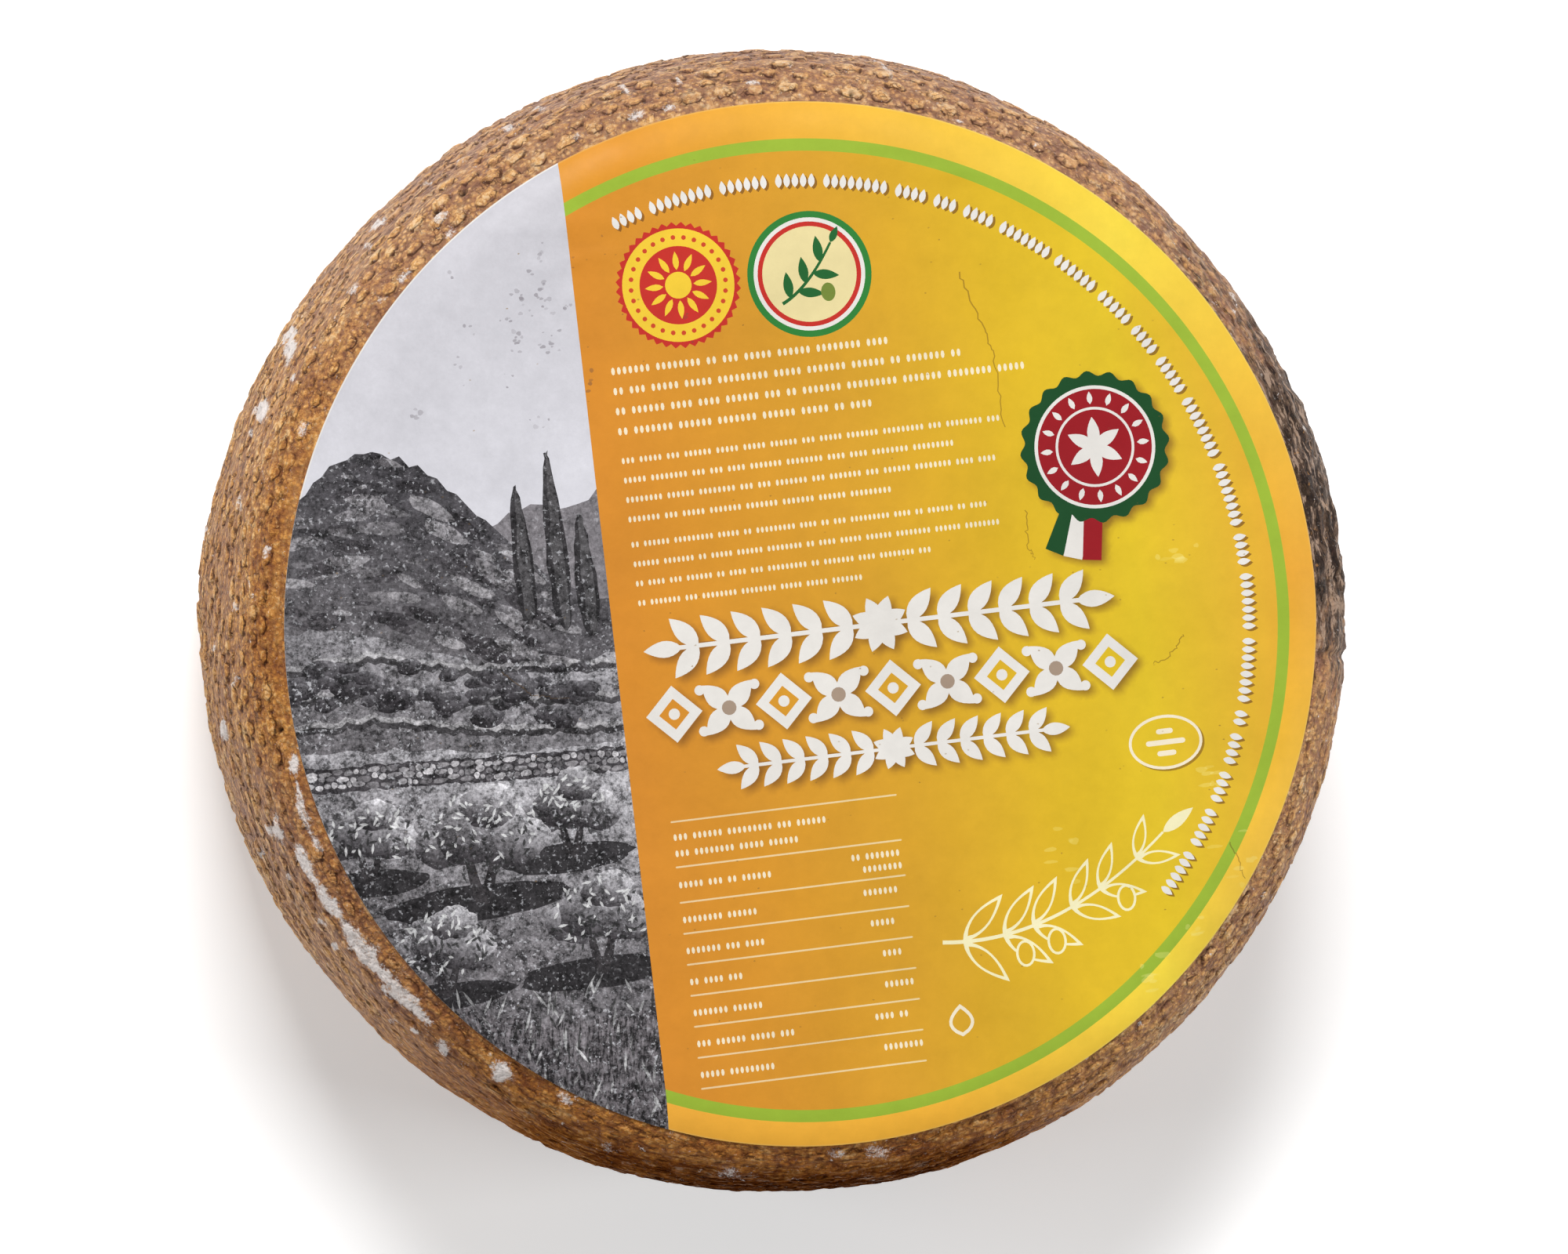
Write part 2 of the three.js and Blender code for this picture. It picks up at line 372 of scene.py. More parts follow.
# Mould on the rind, as azimuth in degrees and distance down it, length along its slant, width,
# slant in degrees from the way around the wheel, and strength
MOULD_SPOTS = [
    (158.0, 32.5, 10, 3.3, 100, 1.0),
    (160.4, 35, 4.5, 1.6, 95, 0.7),
    (150.4, 35, 15, 3.4, 111, 1.0),
    (152.8, 28.5, 4, 1.4, 90, 0.6),
    (149.4, 42, 9, 3.6, 100, 0.9),
    (167.6, 27, 5, 2.0, 110, 0.5),
    (178.1, 22.6, 3.4, 1.6, 90, 0.8),
    (182.3, 38.9, 4, 1.8, 80, 0.6),
    (190.8, 38.6, 8, 3.6, 86, 0.9),
    (154.1, 19.8, 3.6, 1.8, 90, 0.7),
    (138.3, 28, 8, 1.4, 92, 0.7),
    (135.7, 36, 9, 2.4, 88, 0.8),
    (129.5, 31, 8, 1.4, 88, 0.5),
    (125.4, 28.5, 5, 3.0, 90, 0.55),
    (119.6, 30.3, 10, 2.0, 86, 0.6),
    (115.8, 31.0, 8, 1.8, 86, 0.55),
    (108.0, 17.6, 5.5, 1.7, 88, 0.85),
    (102.6, 15.6, 3.0, 1.4, 88, 0.75),
    (80.7, 24, 15, 1.4, 86, 0.6),
    (115.1, 10.2, 3.0, 1.8, 0, 0.4),
    (108.2, 9.8, 2.8, 1.7, 0, 0.6),
    (104.7, 9.4, 3.0, 1.6, 0, 0.7),
    (95.4, 11.8, 2.6, 1.5, 0, 0.8),
    (72.6, 8.8, 2.4, 1.3, 0, 0.55),
    (172.3, 11.8, 2.8, 1.7, 0, 0.75),
    (158.8, 10.4, 3.0, 2.0, 0, 0.5),
    (142.7, 9.2, 3.0, 1.6, 20, 0.6),
    (139.3, 8.8, 3.0, 1.5, 0, 0.6),
    (132.5, 8.4, 2.2, 1.4, 0, 0.6),
    (131.8, 12.2, 2.4, 2.0, 0, 0.6),
    (143.4, 17.0, 3.6, 2.2, 60, 0.5),
    (235.9, 11.4, 4.2, 3.6, 40, 0.95),
    (229.7, 15.0, 4.4, 2.2, 70, 0.9),
    (226.4, 17.4, 3.0, 1.5, 80, 0.8),
    (224.5, 24.0, 7.0, 1.4, 90, 0.4),
    (223.0, 12.8, 11, 4.0, -4, 0.8),
    (217.0, 13.0, 13, 4.6, -4, 0.85),
    (211.0, 13.6, 12, 3.6, -6, 0.85),
    (205.4, 14.2, 9.0, 2.8, -2, 0.85),
    (214.7, 21.6, 3.2, 1.4, 90, 0.8),
    (211.9, 20.8, 4.0, 1.4, 100, 0.55),
    (201.4, 18.4, 5.5, 2.4, 20, 0.8),
    (201.4, 22.5, 8.0, 2.2, 95, 0.7),
    (206.4, 25.2, 3.2, 1.6, 80, 0.6),
    (203.8, 39.0, 5.0, 1.8, 80, 0.6),
    (186.0, 24.4, 6.0, 1.4, 70, 0.55),
    (203.6, 9.8, 6.2, 1.6, -10, 0.7),
    (200.2, 10.1, 5.2, 1.4, 0, 0.7),
    (197.6, 9.4, 5.0, 1.4, 6, 0.8),
    (195.2, 8.9, 4.8, 1.8, 8, 0.85),
    (242.8, 8.6, 3.4, 1.6, 10, 0.5),
    (278.2, 9.8, 5.0, 3.0, 20, 0.45),
    (273.4, 9.4, 3.4, 2.2, 0, 0.4),
    (263.2, 15.2, 6.0, 3.6, 5, 0.45),
    (249.8, 15.8, 3.4, 2.4, 60, 0.35),
    (36.8, 14.6, 2.2, 1.8, 0, 0.7),
    (35.5, 11.6, 1.6, 2.0, 0, 0.6),
    (39.0, 11.0, 1.4, 1.3, 0, 0.55),
    (26.8, 14.0, 1.7, 1.5, 0, 0.6),
    (20.8, 14.2, 1.6, 1.8, 0, 0.9),
    (55.0, 12.8, 1.4, 1.6, 0, 0.55),
    (228.0, 62, 12, 3.0, 70, 0.7),
    (171.0, 66, 9, 3.0, 80, 0.7),
    (60.0, 52, 10, 3.2, 70, 0.8),
    (88.0, 60, 9, 2.8, 84, 0.7),
    (318.0, 44, 14, 3.0, 76, 0.8),
    (338.0, 58, 8, 3.4, 60, 0.8),
    (276.0, 50, 10, 3.4, 85, 0.7),
    (12.0, 68, 9, 3.0, 10, 0.7),
]

# Small holes in the rind, painted dark inside as shade, as azimuth in degrees, distance down it and
# radius
HOLES = [(131.9, 13.9, 0.8), (128.3, 13.4, 0.75), (191.2, 10.4, 0.6)]
HOLES += [(84.8, 9.2, 0.5), (164.8, 21.5, 0.6)]


def spot_reach(azimuth, distance, at_degrees, down, length, width, slant=0):
    """Distance from a slanted oval spot in shares of its own half-size: below 1 is inside it."""
    across = wrapped(azimuth - math.radians(at_degrees)) * WHEEL_RADIUS
    along = distance - down
    lean = math.radians(slant)
    run = across * math.cos(lean) + along * math.sin(lean)
    side = along * math.cos(lean) - across * math.sin(lean)
    return np.hypot(run / (length / 2), side / (width / 2))


def mould_cover(azimuth, distance, points):
    """How thickly mould lies on each point, from 0 to 1, with ragged borders."""
    ragged = 0.5 * lumps(points, 2.4, 61) + 0.35 * lumps(points, 1.2, 62)
    thick = np.zeros(len(azimuth))
    for *spot, strength in MOULD_SPOTS:
        reach = spot_reach(azimuth, distance, *spot)
        thick = np.maximum(thick, strength * (1 - smoothstep(reach + ragged, 0.4, 1.6)))
    return thick


def hole_cover(azimuth, distance):
    depth = np.zeros(len(azimuth))
    for at_degrees, down, radius in HOLES:
        reach = spot_reach(azimuth, distance, at_degrees, down, 2 * radius, 2 * radius)
        depth = np.maximum(depth, 1 - smoothstep(reach, 0.6, 1.3))
    return depth


# How the rind changes round the wheel. Each course has its share on the base, the distances between
# which it goes from how it is beside the label to how it is lower down, azimuths in degrees, and
# its shares at them beside the label and lower down.
COURSES = {
    # pale dust that dulls the rind, and painted sheen that lightens its lower, outer band
    "dust_and_sheen": (
        0.35,
        (18, 29),
        (0, 60, 135, 155, 190, 200, 222, 238, 300, 320, 345),
        (0.5, 0.5, 0.35, 0.05, 0.0, 0.4, 0.45, 0.0, 0.0, 0.25, 0.25),
        (0.8, 0.85, 0.62, 0.22, 0.22, 0.45, 0.3, 0.0, 0.1, 0.7, 0.75),
    ),
    # painted shade on the side of the rind away from the key light, with some real darkening of the
    # rind there too
    "shade_and_stain": (
        0.0,
        (10, 20),
        (140, 150, 160, 182, 202, 220, 238, 250, 260, 284, 294, 300, 310, 322),
        (0.0, 0.05, 0.16, 0.28, 0.2, 0.2, 0.33, 0.36, 0.38, 0.4, 0.18, 0.12, 0.0, 0.0),
        (0.0, 0.02, 0.06, 0.1, 0.03, 0.06, 0.42, 0.74, 1.0, 1.0, 0.5, 0.26, 0.08, 0.0),
    ),
    # how far the rind is drawn out into fibres that run round the wheel, in place of nubs
    "streaks": (
        0.0,
        (7, 12),
        (0, 36, 50, 64, 206, 226, 290, 308, 318, 338, 352),
        (0.95, 0.9, 0.6, 0.1, 0.0, 0.35, 0.6, 0.4, 0.05, 0.1, 0.7),
        (1.0, 0.95, 0.7, 0.15, 0.15, 0.8, 0.85, 0.7, 0.35, 0.45, 0.9),
    ),
    # how black the torn patch is
    "char": (
        0.0,
        (10, 15),
        (0, 3, 6, 10, 22, 25, 28, 36, 44, 52, 60, 350, 356),
        (0.65, 0.78, 0.94, 1.0, 1.0, 0.85, 0.62, 0.45, 0.36, 0.18, 0.0, 0.05, 0.35),
        (0.92, 0.94, 0.96, 1.0, 1.0, 0.95, 0.85, 0.5, 0.35, 0.2, 0.0, 0.15, 0.65),
    ),
}


def course_share(name, azimuth, distance):
    """The share of a course at each point."""
    on_base, (high, low), turns, by_label, lower_down = COURSES[name]
    depth = smoothstep(distance, high, low)
    side = around(azimuth, turns, by_label) * (1 - depth)
    side += around(azimuth, turns, lower_down) * depth
    base = smoothstep(distance, section.length - 10, section.length + 14)
    return side * (1 - base) + on_base * base


def put_in_scene(name, data):
    """A new object with the given mesh, light or camera."""
    made = bpy.data.objects.new(name, data)
    bpy.context.scene.collection.objects.link(made)
    return made


def store(mesh, name, values, kind="FLOAT", domain="POINT", field="value"):
    """Stores values for the material to read."""
    layer = mesh.attributes.new(name, kind, domain)
    layer.data.foreach_set(field, np.asarray(values, np.float32).ravel())


def new_mesh(name, points_mm, faces):
    """A smooth mesh in metres, as an object."""
    mesh = bpy.data.meshes.new(name)
    mesh.from_pydata((points_mm * MM).tolist(), [], faces.tolist())
    mesh.polygons.foreach_set("use_smooth", np.ones(len(faces), bool))
    mesh.update()
    return put_in_scene(name, mesh)


def make_rind():
    azimuth, distance, rings = ring_points(rind_levels())
    on_side = (distance > section.label_edge + 1.2) & (distance < section.length)
    azimuth, distance = snap_to_rims(azimuth, distance, on_side)
    plain = section_points(azimuth, distance)
    relief, facts = rind_relief(azimuth, distance, plain)

    facts["mould"] = mould_cover(azimuth, distance, plain)
    facts["holes"] = hole_cover(azimuth, distance)
    for name in ("dust_and_sheen", "shade_and_stain", "char"):
        facts[name] = course_share(name, azimuth, distance)
    facts["char"] *= 1 - smoothstep(distance, *CRAG_FADE)
    relief = relief + MOULD_THICKNESS * facts["mould"] - HOLE_DEPTH * facts["holes"]
    seat = 1 - smoothstep(distance, section.label_edge - 0.5, section.label_edge + 1.0)
    relief = np.where(distance < section.length, relief, relief - BASE_SINK) + SEAT * seat
    points = section_points(azimuth, distance, relief)
    points[:, 2] = np.maximum(points[:, 2], 0.0)

    made = new_mesh("rind", points, stitch(rings))
    for name, values in facts.items():
        store(made.data, name, values)
    flow = stretched(azimuth, distance, 4.5, 1.0).astype(np.float32) * MM
    store(made.data, "flow", flow, "FLOAT_VECTOR", field="vector")
    made.data.materials.append(rind_material())
    return made


# ---------------------------------------------------------------- materials


class Wire:
    """One output of a node, that sums can be written with."""

    def __init__(self, shade, socket):
        self.shade = shade
        self.socket = socket

    def __add__(self, other):
        return self.shade.math("ADD", self, other)

    def __sub__(self, other):
        return self.shade.math("SUBTRACT", self, other)

    def __rsub__(self, other):
        return self.shade.math("SUBTRACT", other, self)

    def __mul__(self, other):
        return self.shade.math("MULTIPLY", self, other)

    def at_least(self, other):
        return self.shade.math("MAXIMUM", self, other)

    def at_most(self, other):
        return self.shade.math("MINIMUM", self, other)

    def spread(self, low, high, to_low=0.0, to_high=1.0, kind="SMOOTHSTEP"):
        """The part of the range from low to high that the value has passed, as a share."""
        ends = {"From Min": low, "From Max": high, "To Min": to_low, "To Max": to_high}
        inputs = {"Value": self, **ends}
        return self.shade.node("ShaderNodeMapRange", inputs, interpolation_type=kind)


class Shade:
    """A node material, with short calls for the nodes that the surfaces here are made of."""

    def __init__(self, name):
        self.material = bpy.data.materials.new(name)
        self.material.use_nodes = True
        self.tree = self.material.node_tree

    def put(self, socket, value):
        if isinstance(value, Wire):
            self.tree.links.new(value.socket, socket)
        else:
            socket.default_value = value

    def node(self, kind, inputs, output=0, **settings):
        """A new node with the given inputs and settings, as the wire from one of its outputs."""
        made = self.tree.nodes.new(kind)
        for key, value in settings.items():
            setattr(made, key, value)
        for key, value in inputs.items():
            self.put(made.inputs[key], value)
        return Wire(self, made.outputs[output])

    def finish(self, inputs):
        """The material, with the inputs of its surface shader set."""
        for key, value in inputs.items():
            self.put(self.tree.nodes["Principled BSDF"].inputs[key], value)
        return self.material

    def place(self):
        return self.node("ShaderNodeTexCoord", {}, "Object")

    def fact(self, name, output="Fac"):
        """What the mesh stores under a name."""
        return self.node("ShaderNodeAttribute", {}, output, attribute_name=name)

    def math(self, operation, *values):
        return self.node("ShaderNodeMath", dict(enumerate(values)), operation=operation)

    def vector(self, operation, inputs):
        return self.node("ShaderNodeVectorMath", inputs, operation=operation)

    def noise(self, scale, detail=3.0, roughness=0.55, where=None):
        inputs = {"Scale": scale, "Detail": detail, "Roughness": roughness}
        return self.node("ShaderNodeTexNoise", {**inputs, "Vector": where or self.place()}, "Fac")

    def cells(self, scale, where, feature="F1"):
        inputs = {"Scale": scale, "Vector": where}
        return self.node("ShaderNodeTexVoronoi", inputs, "Distance", feature=feature)

    def mix(self, share, first, second, blend="MIX"):
        inputs = {"Factor": share, "A": first, "B": second}
        return self.node("ShaderNodeMix", inputs, "Result", data_type="RGBA", blend_type=blend)

    def ramp(self, value, stops):
        colours = self.node("ShaderNodeValToRGB", {"Fac": value}, "Color")
        elements = colours.socket.node.color_ramp.elements
        while len(elements) < len(stops):
            elements.new(0.5)
        for element, (place, shade) in zip(elements, stops):
            element.position = place
            element.color = shade
        return colours

    def bump(self, height, depth):
        """A normal from a height from 0 to 1 that stands for depth in metres."""
        return self.node("ShaderNodeBump", {"Distance": depth, "Height": height}, "Normal")


def linear(screen):
    """Screen colours from 0 to 255 as the linear values that shaders take."""
    share = np.asarray(screen) / 255
    return np.where(share <= 0.04045, share / 12.92, ((share + 0.055) / 1.055) ** 2.4)


def colour(red, green, blue):
    return (*linear((red, green, blue)).tolist(), 1.0)


GOLD = colour(234, 178, 101)
OCHRE = colour(196, 139, 78)
BROWN = colour(158, 104, 60)
DARK = colour(104, 58, 30)
# painted shade for the nubs' feet and the pits, also the dark between fibres
CREVICE_SHADE = colour(68, 36, 21)
# painted highlight for the light glints on the rind
GLINT = colour(248, 210, 156)
# pale dust, standing in also for painted sheen
DUST_SHEEN = colour(184, 146, 124)
# painted shade in the gaps between nubs
MAUVE_SHADE = colour(116, 78, 68)
BLACK = colour(26, 19, 17)
CHAR_BROWN = colour(86, 68, 57)
CHAR_LIGHT = colour(176, 150, 130)
MOULD = colour(232, 224, 220)
# painted shade inside the holes
HOLE_SHADE = colour(22, 16, 12)
SHEEN = colour(255, 225, 205)
PICTURE_LIGHT = colour(205, 205, 210)
# its lightest tone is the painted highlight colour
RIND_TONES = [(0.0, DARK), (0.22, BROWN), (0.5, OCHRE), (0.82, GOLD), (1.0, GLINT)]
# What the rind's colour is multiplied by as its painted shade and stain deepen
SHADE_AND_STAIN_FACTORS = [
    (0.0, (1, 1, 1, 1)),
    (0.2, (0.8, 0.68, 0.53, 1)),
    (0.4, (0.6, 0.45, 0.3, 1)),
    (0.6, (0.42, 0.28, 0.17, 1)),
    (0.8, (0.255, 0.143, 0.07, 1)),
    (1.0, (0.1, 0.045, 0.014, 1)),
]
WARP = 0.9 * MM  # how far the cells of the rind's pattern are pulled out of shape


def rind_material():
    s = Shade("rind")
    height, rim, side, tone, stand = map(s.fact, ("height", "rim", "side", "tone", "stand"))
    streaky, burnt, dust_sheen, shade_and_stain = map(s.fact, ("streaks", "char", "dust_and_sheen", "shade_and_stain"))
    flow = s.fact("flow", "Vector")
    place = s.place()
    bend = s.node("ShaderNodeTexNoise", {"Vector": place, "Scale": 700.0, "Detail": 2.0}, "Color")
    bent = s.vector("MULTIPLY_ADD", {0: bend, 1: [WARP] * 3, 2: place})
    coarse, small = s.cells(900, bent), s.cells(1750, bent)
    edge = s.cells(900, bent, "DISTANCE_TO_EDGE")
    broad, medium, fine = s.noise(120, 3, 0.6), s.noise(560, 4, 0.65), s.noise(1500, 3, 0.75)
    streak, thin = s.noise(900, 3, 0.65, flow), s.noise(1100, 3, 0.7, flow)

    # Ochre to gold with its grain, and with its height: tops lighter and hollows darker as painted
    # light and shade. Duller with dust and painted sheen, and mauve painted shade in the gaps
    calm = (1 - streaky * 0.5) * (stand * 0.4 + 0.6)
    level = height.spread(-0.3, 0.65, 0.27, 0.71, "LINEAR") + tone * 0.3 + 0.09
    level += (medium - 0.5) * calm * 1.5 + (fine - 0.5) * calm * 2.3
    level += (streak - 0.5) * streaky * 1.6 + (0.4 - coarse) * 0.4
    base = s.mix(broad.spread(0.4, 0.7, 0.0, 0.25), s.ramp(level, RIND_TONES), BROWN)
    base = s.mix(dust_sheen * medium.spread(0.34, 0.62, 0.4, 0.95), base, DUST_SHEEN)
    gap_shade = height.spread(0.3, 0.04) * s.noise(420, 4, 0.7).spread(0.4, 0.54, 0.3, 1.0)
    gap_shade *= (coarse + (fine - 0.5) * 0.8).spread(0.2, 0.5)
    base = s.mix(gap_shade * (dust_sheen * 0.5 + 0.46), base, MAUVE_SHADE)

    # Painted shade as dark lines at the nubs' feet on the label side and in the pits, dark fibres,
    # and painted highlights as light glints
    foot = rim + (s.noise(800) - 0.5) * 0.35 - 0.06
    line = s.math("ABSOLUTE", foot).spread(0.24, 0.05) * side.spread(-0.35, 0.55, 0.12, 1.0)
    line *= stand * s.noise(420).spread(0.34, 0.48, 0.3, 1.0)
    base = s.mix(line * 0.95, base, CREVICE_SHADE)
    pit_shade = edge.spread(0.12, 0.03) * s.noise(520).spread(0.52, 0.62)
    base = s.mix(pit_shade * stand * 0.7, base, CREVICE_SHADE)
    base = s.mix(thin.spread(0.44, 0.37) * (streaky * 0.5 + 0.3), base, CREVICE_SHADE)
    glints = small.spread(0.34, 0.14) * s.noise(820, 3, 0.7).spread(0.52, 0.64)
    base = s.mix(glints * 0.7, base, GLINT)
    # painted shade, with stain: darker on the side away from the key light
    dark = shade_and_stain * streak.spread(0.4, 0.62, 1.05, 0.72)
    base = s.mix(1.0, base, s.ramp(dark, SHADE_AND_STAIN_FACTORS), "MULTIPLY")

    # The blackened patch with its lighter fibres, mould, and painted shade inside the holes
    scorch = burnt + (streak - 0.5) * 1.3 + (s.noise(300, 4) - 0.5) * 1.1
    char = s.mix((streak - (burnt - 0.5) * 0.5).spread(0.2, 0.34), BLACK, CHAR_BROWN)
    char = s.mix(thin.spread(0.53, 0.59) * 0.8, char, CHAR_LIGHT)
    char = s.mix(thin.spread(0.46, 0.4), char, BLACK)
    char = s.mix(s.noise(640).spread(0.66, 0.7) * 0.45, char, OCHRE)
    base = s.mix(scorch.spread(0.12, 0.82) * 0.94, base, char)
    base = s.mix(thin.spread(0.57, 0.66) * shade_and_stain.spread(0.2, 0.8, 0.0, 0.4), base, CHAR_LIGHT)
    ragged = (s.noise(700, 4, 0.75) - 0.5) * 1.4 + (s.noise(2100, 3, 0.8) - 0.5) * 1.6
    chalk = (s.fact("mould") + ragged).at_least(s.noise(330, 5, 0.8).spread(0.58, 0.76))
    base = s.mix(chalk.spread(0.22, 0.8) * 0.92, base, MOULD)
    base = s.mix(s.fact("holes"), base, HOLE_SHADE)

    relief = fine * 0.6 - coarse * 0.7 - small * 0.3 + streak * streaky * 0.8
    surface = {
        "Base Color": base,
        "Normal": s.bump(relief, 0.5 * MM),
        "Roughness": fine.spread(0.3, 0.7, 0.45, 0.65, "LINEAR"),
        "Specular IOR Level": (0.16 - shade_and_stain * 0.3).at_least(0.0),
        "Sheen Weight": (0.06 - shade_and_stain * 0.2).at_least(0.0),
        "Sheen Roughness": 0.5,
        "Sheen Tint": SHEEN,
    }
    return s.finish(surface)


def paper_material():
    """Printed paper. Grain is the texture of the grey picture: rough ground up to 1, grass at 2."""
    s = Shade("label")
    grain = s.fact("grain")
    earth = grain.at_most(1.0)
    rough = (s.noise(420, 4, 0.7) * 1.1 + s.noise(1900, 3, 0.7) - 1.05) * earth
    upright = s.vector("MULTIPLY", {0: s.place(), 1: (1.0, 0.22, 1.0)})
    blades = (s.noise(1700, 3, 0.7, upright) - 0.5) * grain.spread(1.0, 2.0)
    lift = rough * 4.0 + 1.0 + blades * 6.0
    patches = s.noise(110, 3, 0.6).spread(0.42, 0.58, 0.3, 1.0)
    dark = s.noise(700, 3, 0.65).spread(0.46, 0.38) * earth * patches
    lift = (lift * (1 - dark * 0.65)).at_least(0.2)
    mottle = s.noise(55, 4, 0.65) * 0.3 + 0.85 + (s.noise(330, 5, 0.75) - 0.5) * 0.16
    shade = s.vector("SCALE", {0: s.fact("ink", "Color"), "Scale": lift * mottle})
    light = s.noise(1250, 3, 0.65).spread(0.56, 0.66) * earth * patches * 0.75
    surface = {
        "Base Color": s.mix(light, shade, PICTURE_LIGHT),
        "Normal": s.bump(s.noise(400, 3, 0.6), 0.05 * MM),
        "Roughness": s.noise(90).spread(0.3, 0.7, 0.42, 0.55, "LINEAR"),
        "Specular IOR Level": 0.12,
    }
    return s.finish(surface)


# ---------------------------------------------------------------- shapes for the print

# The print is laid out in its own millimetres, (along, up), seen from above with its lines level.
PRINT_TURN = math.radians(6.6)  # of the printed lines from +X
SPLIT = -33.45  # where the coloured field meets the grey picture
RING_CENTRE = (0.13, -1.1)
RING_RADIUS = 83.3
RING_WIDTH = 2.1
BARE_EDGE = 0.22  # of white paper round the print
RIM_POINTS = 360
SHADOW_SHIFT = (0.75, -0.75)  # of the soft shadows under the boldest shapes
SHADOW_BLUR = 1.0
SHADOW_DEPTH = 0.6
SHADOW_RAYS = 24
SMALLEST_SHAPE = 0.02  # in square millimetres; smaller ones aren't printed
CUT_PRECISION = 1e-4  # points nearer than this are one point once the paper is cut


def turned(points, angle):
    """Points turned anticlockwise by an angle about their origin."""
    x, y = np.moveaxis(np.asarray(points, float), -1, 0)
    cos, sin = math.cos(angle), math.sin(angle)
    return np.stack([x * cos - y * sin, x * sin + y * cos], -1)


def oval(at, across, up=None, points=40, lobes=0, lobe_size=0.0):
    """An ellipse, with lobes round it where asked."""
    angle = np.arange(points) * FULL_TURN / points
    reach = 1 + lobe_size * np.cos(lobes * angle)
    x, y = across * reach * np.cos(angle), (up or across) * reach * np.sin(angle)
    return np.column_stack([x, y]) + at


def lumpy(at, across, up, roughness, draw, points=36):
    """An oval with an uneven outline, as a tree's crown or a stone."""
    angle = np.arange(points) * FULL_TURN / points
    reach = np.ones(points)
    for waves in (2, 3, 5, 8, 13):
        depth = roughness * draw.uniform(0.2, 1) / waves**0.4
        reach += depth * np.sin(waves * angle + draw.uniform(0, 7))
    return np.column_stack([across * reach * np.cos(angle), up * reach * np.sin(angle)]) + at


def bar(left, middle, width, height):
    """A level bar with rounded ends."""
    end = np.radians([90, 45, 0, -45, -90])
    round_end = polar(1, end) * height / 2
    right_end = round_end + (left + width - height / 2, middle)
    left_end = -round_end + (left + height / 2, middle)
    return np.vstack([right_end, left_end])[::-1]


def leaf(at, slant, length, width, points=9):
    """A pointed leaf that starts at a point and runs at a slant in degrees."""
    run = np.linspace(0, 1, points)
    half = width / 2 * np.sin(math.pi * run**0.85) ** 0.9
    upper = np.column_stack([length * run, half])
    lower = np.column_stack([length * run, -half])[-2:0:-1]
    return turned(np.vstack([lower[::-1], upper[::-1]]), math.radians(slant)) + at


def stroke(line, width, taper=0.0):
    """A band along a line of points, narrowing towards its end by the share given."""
    line = np.asarray(line, float)
    ways = np.gradient(line, axis=0)
    ways /= np.linalg.norm(ways, axis=1)[:, None]
    half = width / 2 * (1 - taper * np.linspace(0, 1, len(line)))[:, None]
    side = np.column_stack([-ways[:, 1], ways[:, 0]]) * half
    return np.vstack([line - side, (line + side)[::-1]])


def curve(start, middle, end, points=14):
    """Points of a smooth curve from start to end, drawn towards a middle point."""
    start, middle, end = np.array([start, middle, end], float)
    run = np.linspace(0, 1, points)[:, None]
    return (1 - run) ** 2 * start + 2 * run * (1 - run) * middle + run**2 * end


def wander(line, sway, draw):
    """A finer copy of a line that strays from it, as a crack does."""
    line = np.asarray(line, float)
    run = np.linspace(0, len(line) - 1, 9 * len(line))
    finer = np.column_stack([np.interp(run, range(len(line)), line[:, axis]) for axis in (0, 1)])
    return finer + draw.uniform(-sway, sway, finer.shape)


def contains(outline, points):
    """Which points lie inside an outline."""
    x, y = points[:, 0][:, None], points[:, 1][:, None]
    ax, ay = outline.T
    bx, by = np.roll(outline, -1, axis=0).T
    crosses = (ay > y) != (by > y)
    at = ax + (y - ay) * (bx - ax) / np.where(by == ay, 1, by - ay)
    return (crosses & (x < at)).sum(1) % 2 == 1


def area_within(outline):
    """Area inside an outline, below zero when it runs clockwise."""
    x, y = outline.T
    return np.sum(x * np.roll(y, -1) - y * np.roll(x, -1)) / 2


class Print:
    """Printed shapes, each laid over those before it, and the soft shadow that some cast."""

    def __init__(self):
        self.outlines = []
        self.inks = []
        self.casting = []
        self.shadow_after = 0  # number of shapes that lie under the shadow
        self.limit = math.inf  # what lies further along is cut off

    def add(self, outline, ink, cover=1.0, grain=0.0, casts=False):
        if outline[:, 0].min() >= self.limit:
            return
        outline[:, 0] = np.minimum(outline[:, 0], self.limit)
        area = area_within(outline)
        if abs(area) < SMALLEST_SHAPE:
            return
        outline = outline if area > 0 else outline[::-1]
        self.outlines.append(outline)
        self.inks.append((ink, cover, grain))
        if casts:
            self.casting.append(outline)

    def discs(self, at, points, *layers):
        """Discs of (radius, ink), each on top of the one before."""
        for radius, ink in layers:
            self.add(oval(at, radius, points=points), ink)

    def shadow(self, points):
        """How much of the soft shadow falls on each point, from 0 to 1."""
        total = np.zeros(len(points))
        rays = np.arange(SHADOW_RAYS)
        spread = polar(SHADOW_BLUR * np.sqrt((rays + 0.5) / SHADOW_RAYS), rays * 2.4) - SHADOW_SHIFT
        for outline in self.casting:
            low, high = outline.min(0) - SHADOW_BLUR - 1, outline.max(0) + SHADOW_BLUR + 1
            near = np.where(((points > low) & (points < high)).all(1))[0]
            if len(near):
                spots = (points[near][:, None] + spread).reshape(-1, 2)
                total[near] += contains(outline, spots).reshape(len(near), -1).mean(1)
        return np.clip(total, 0, 1)


# ---------------------------------------------------------------- the print itself

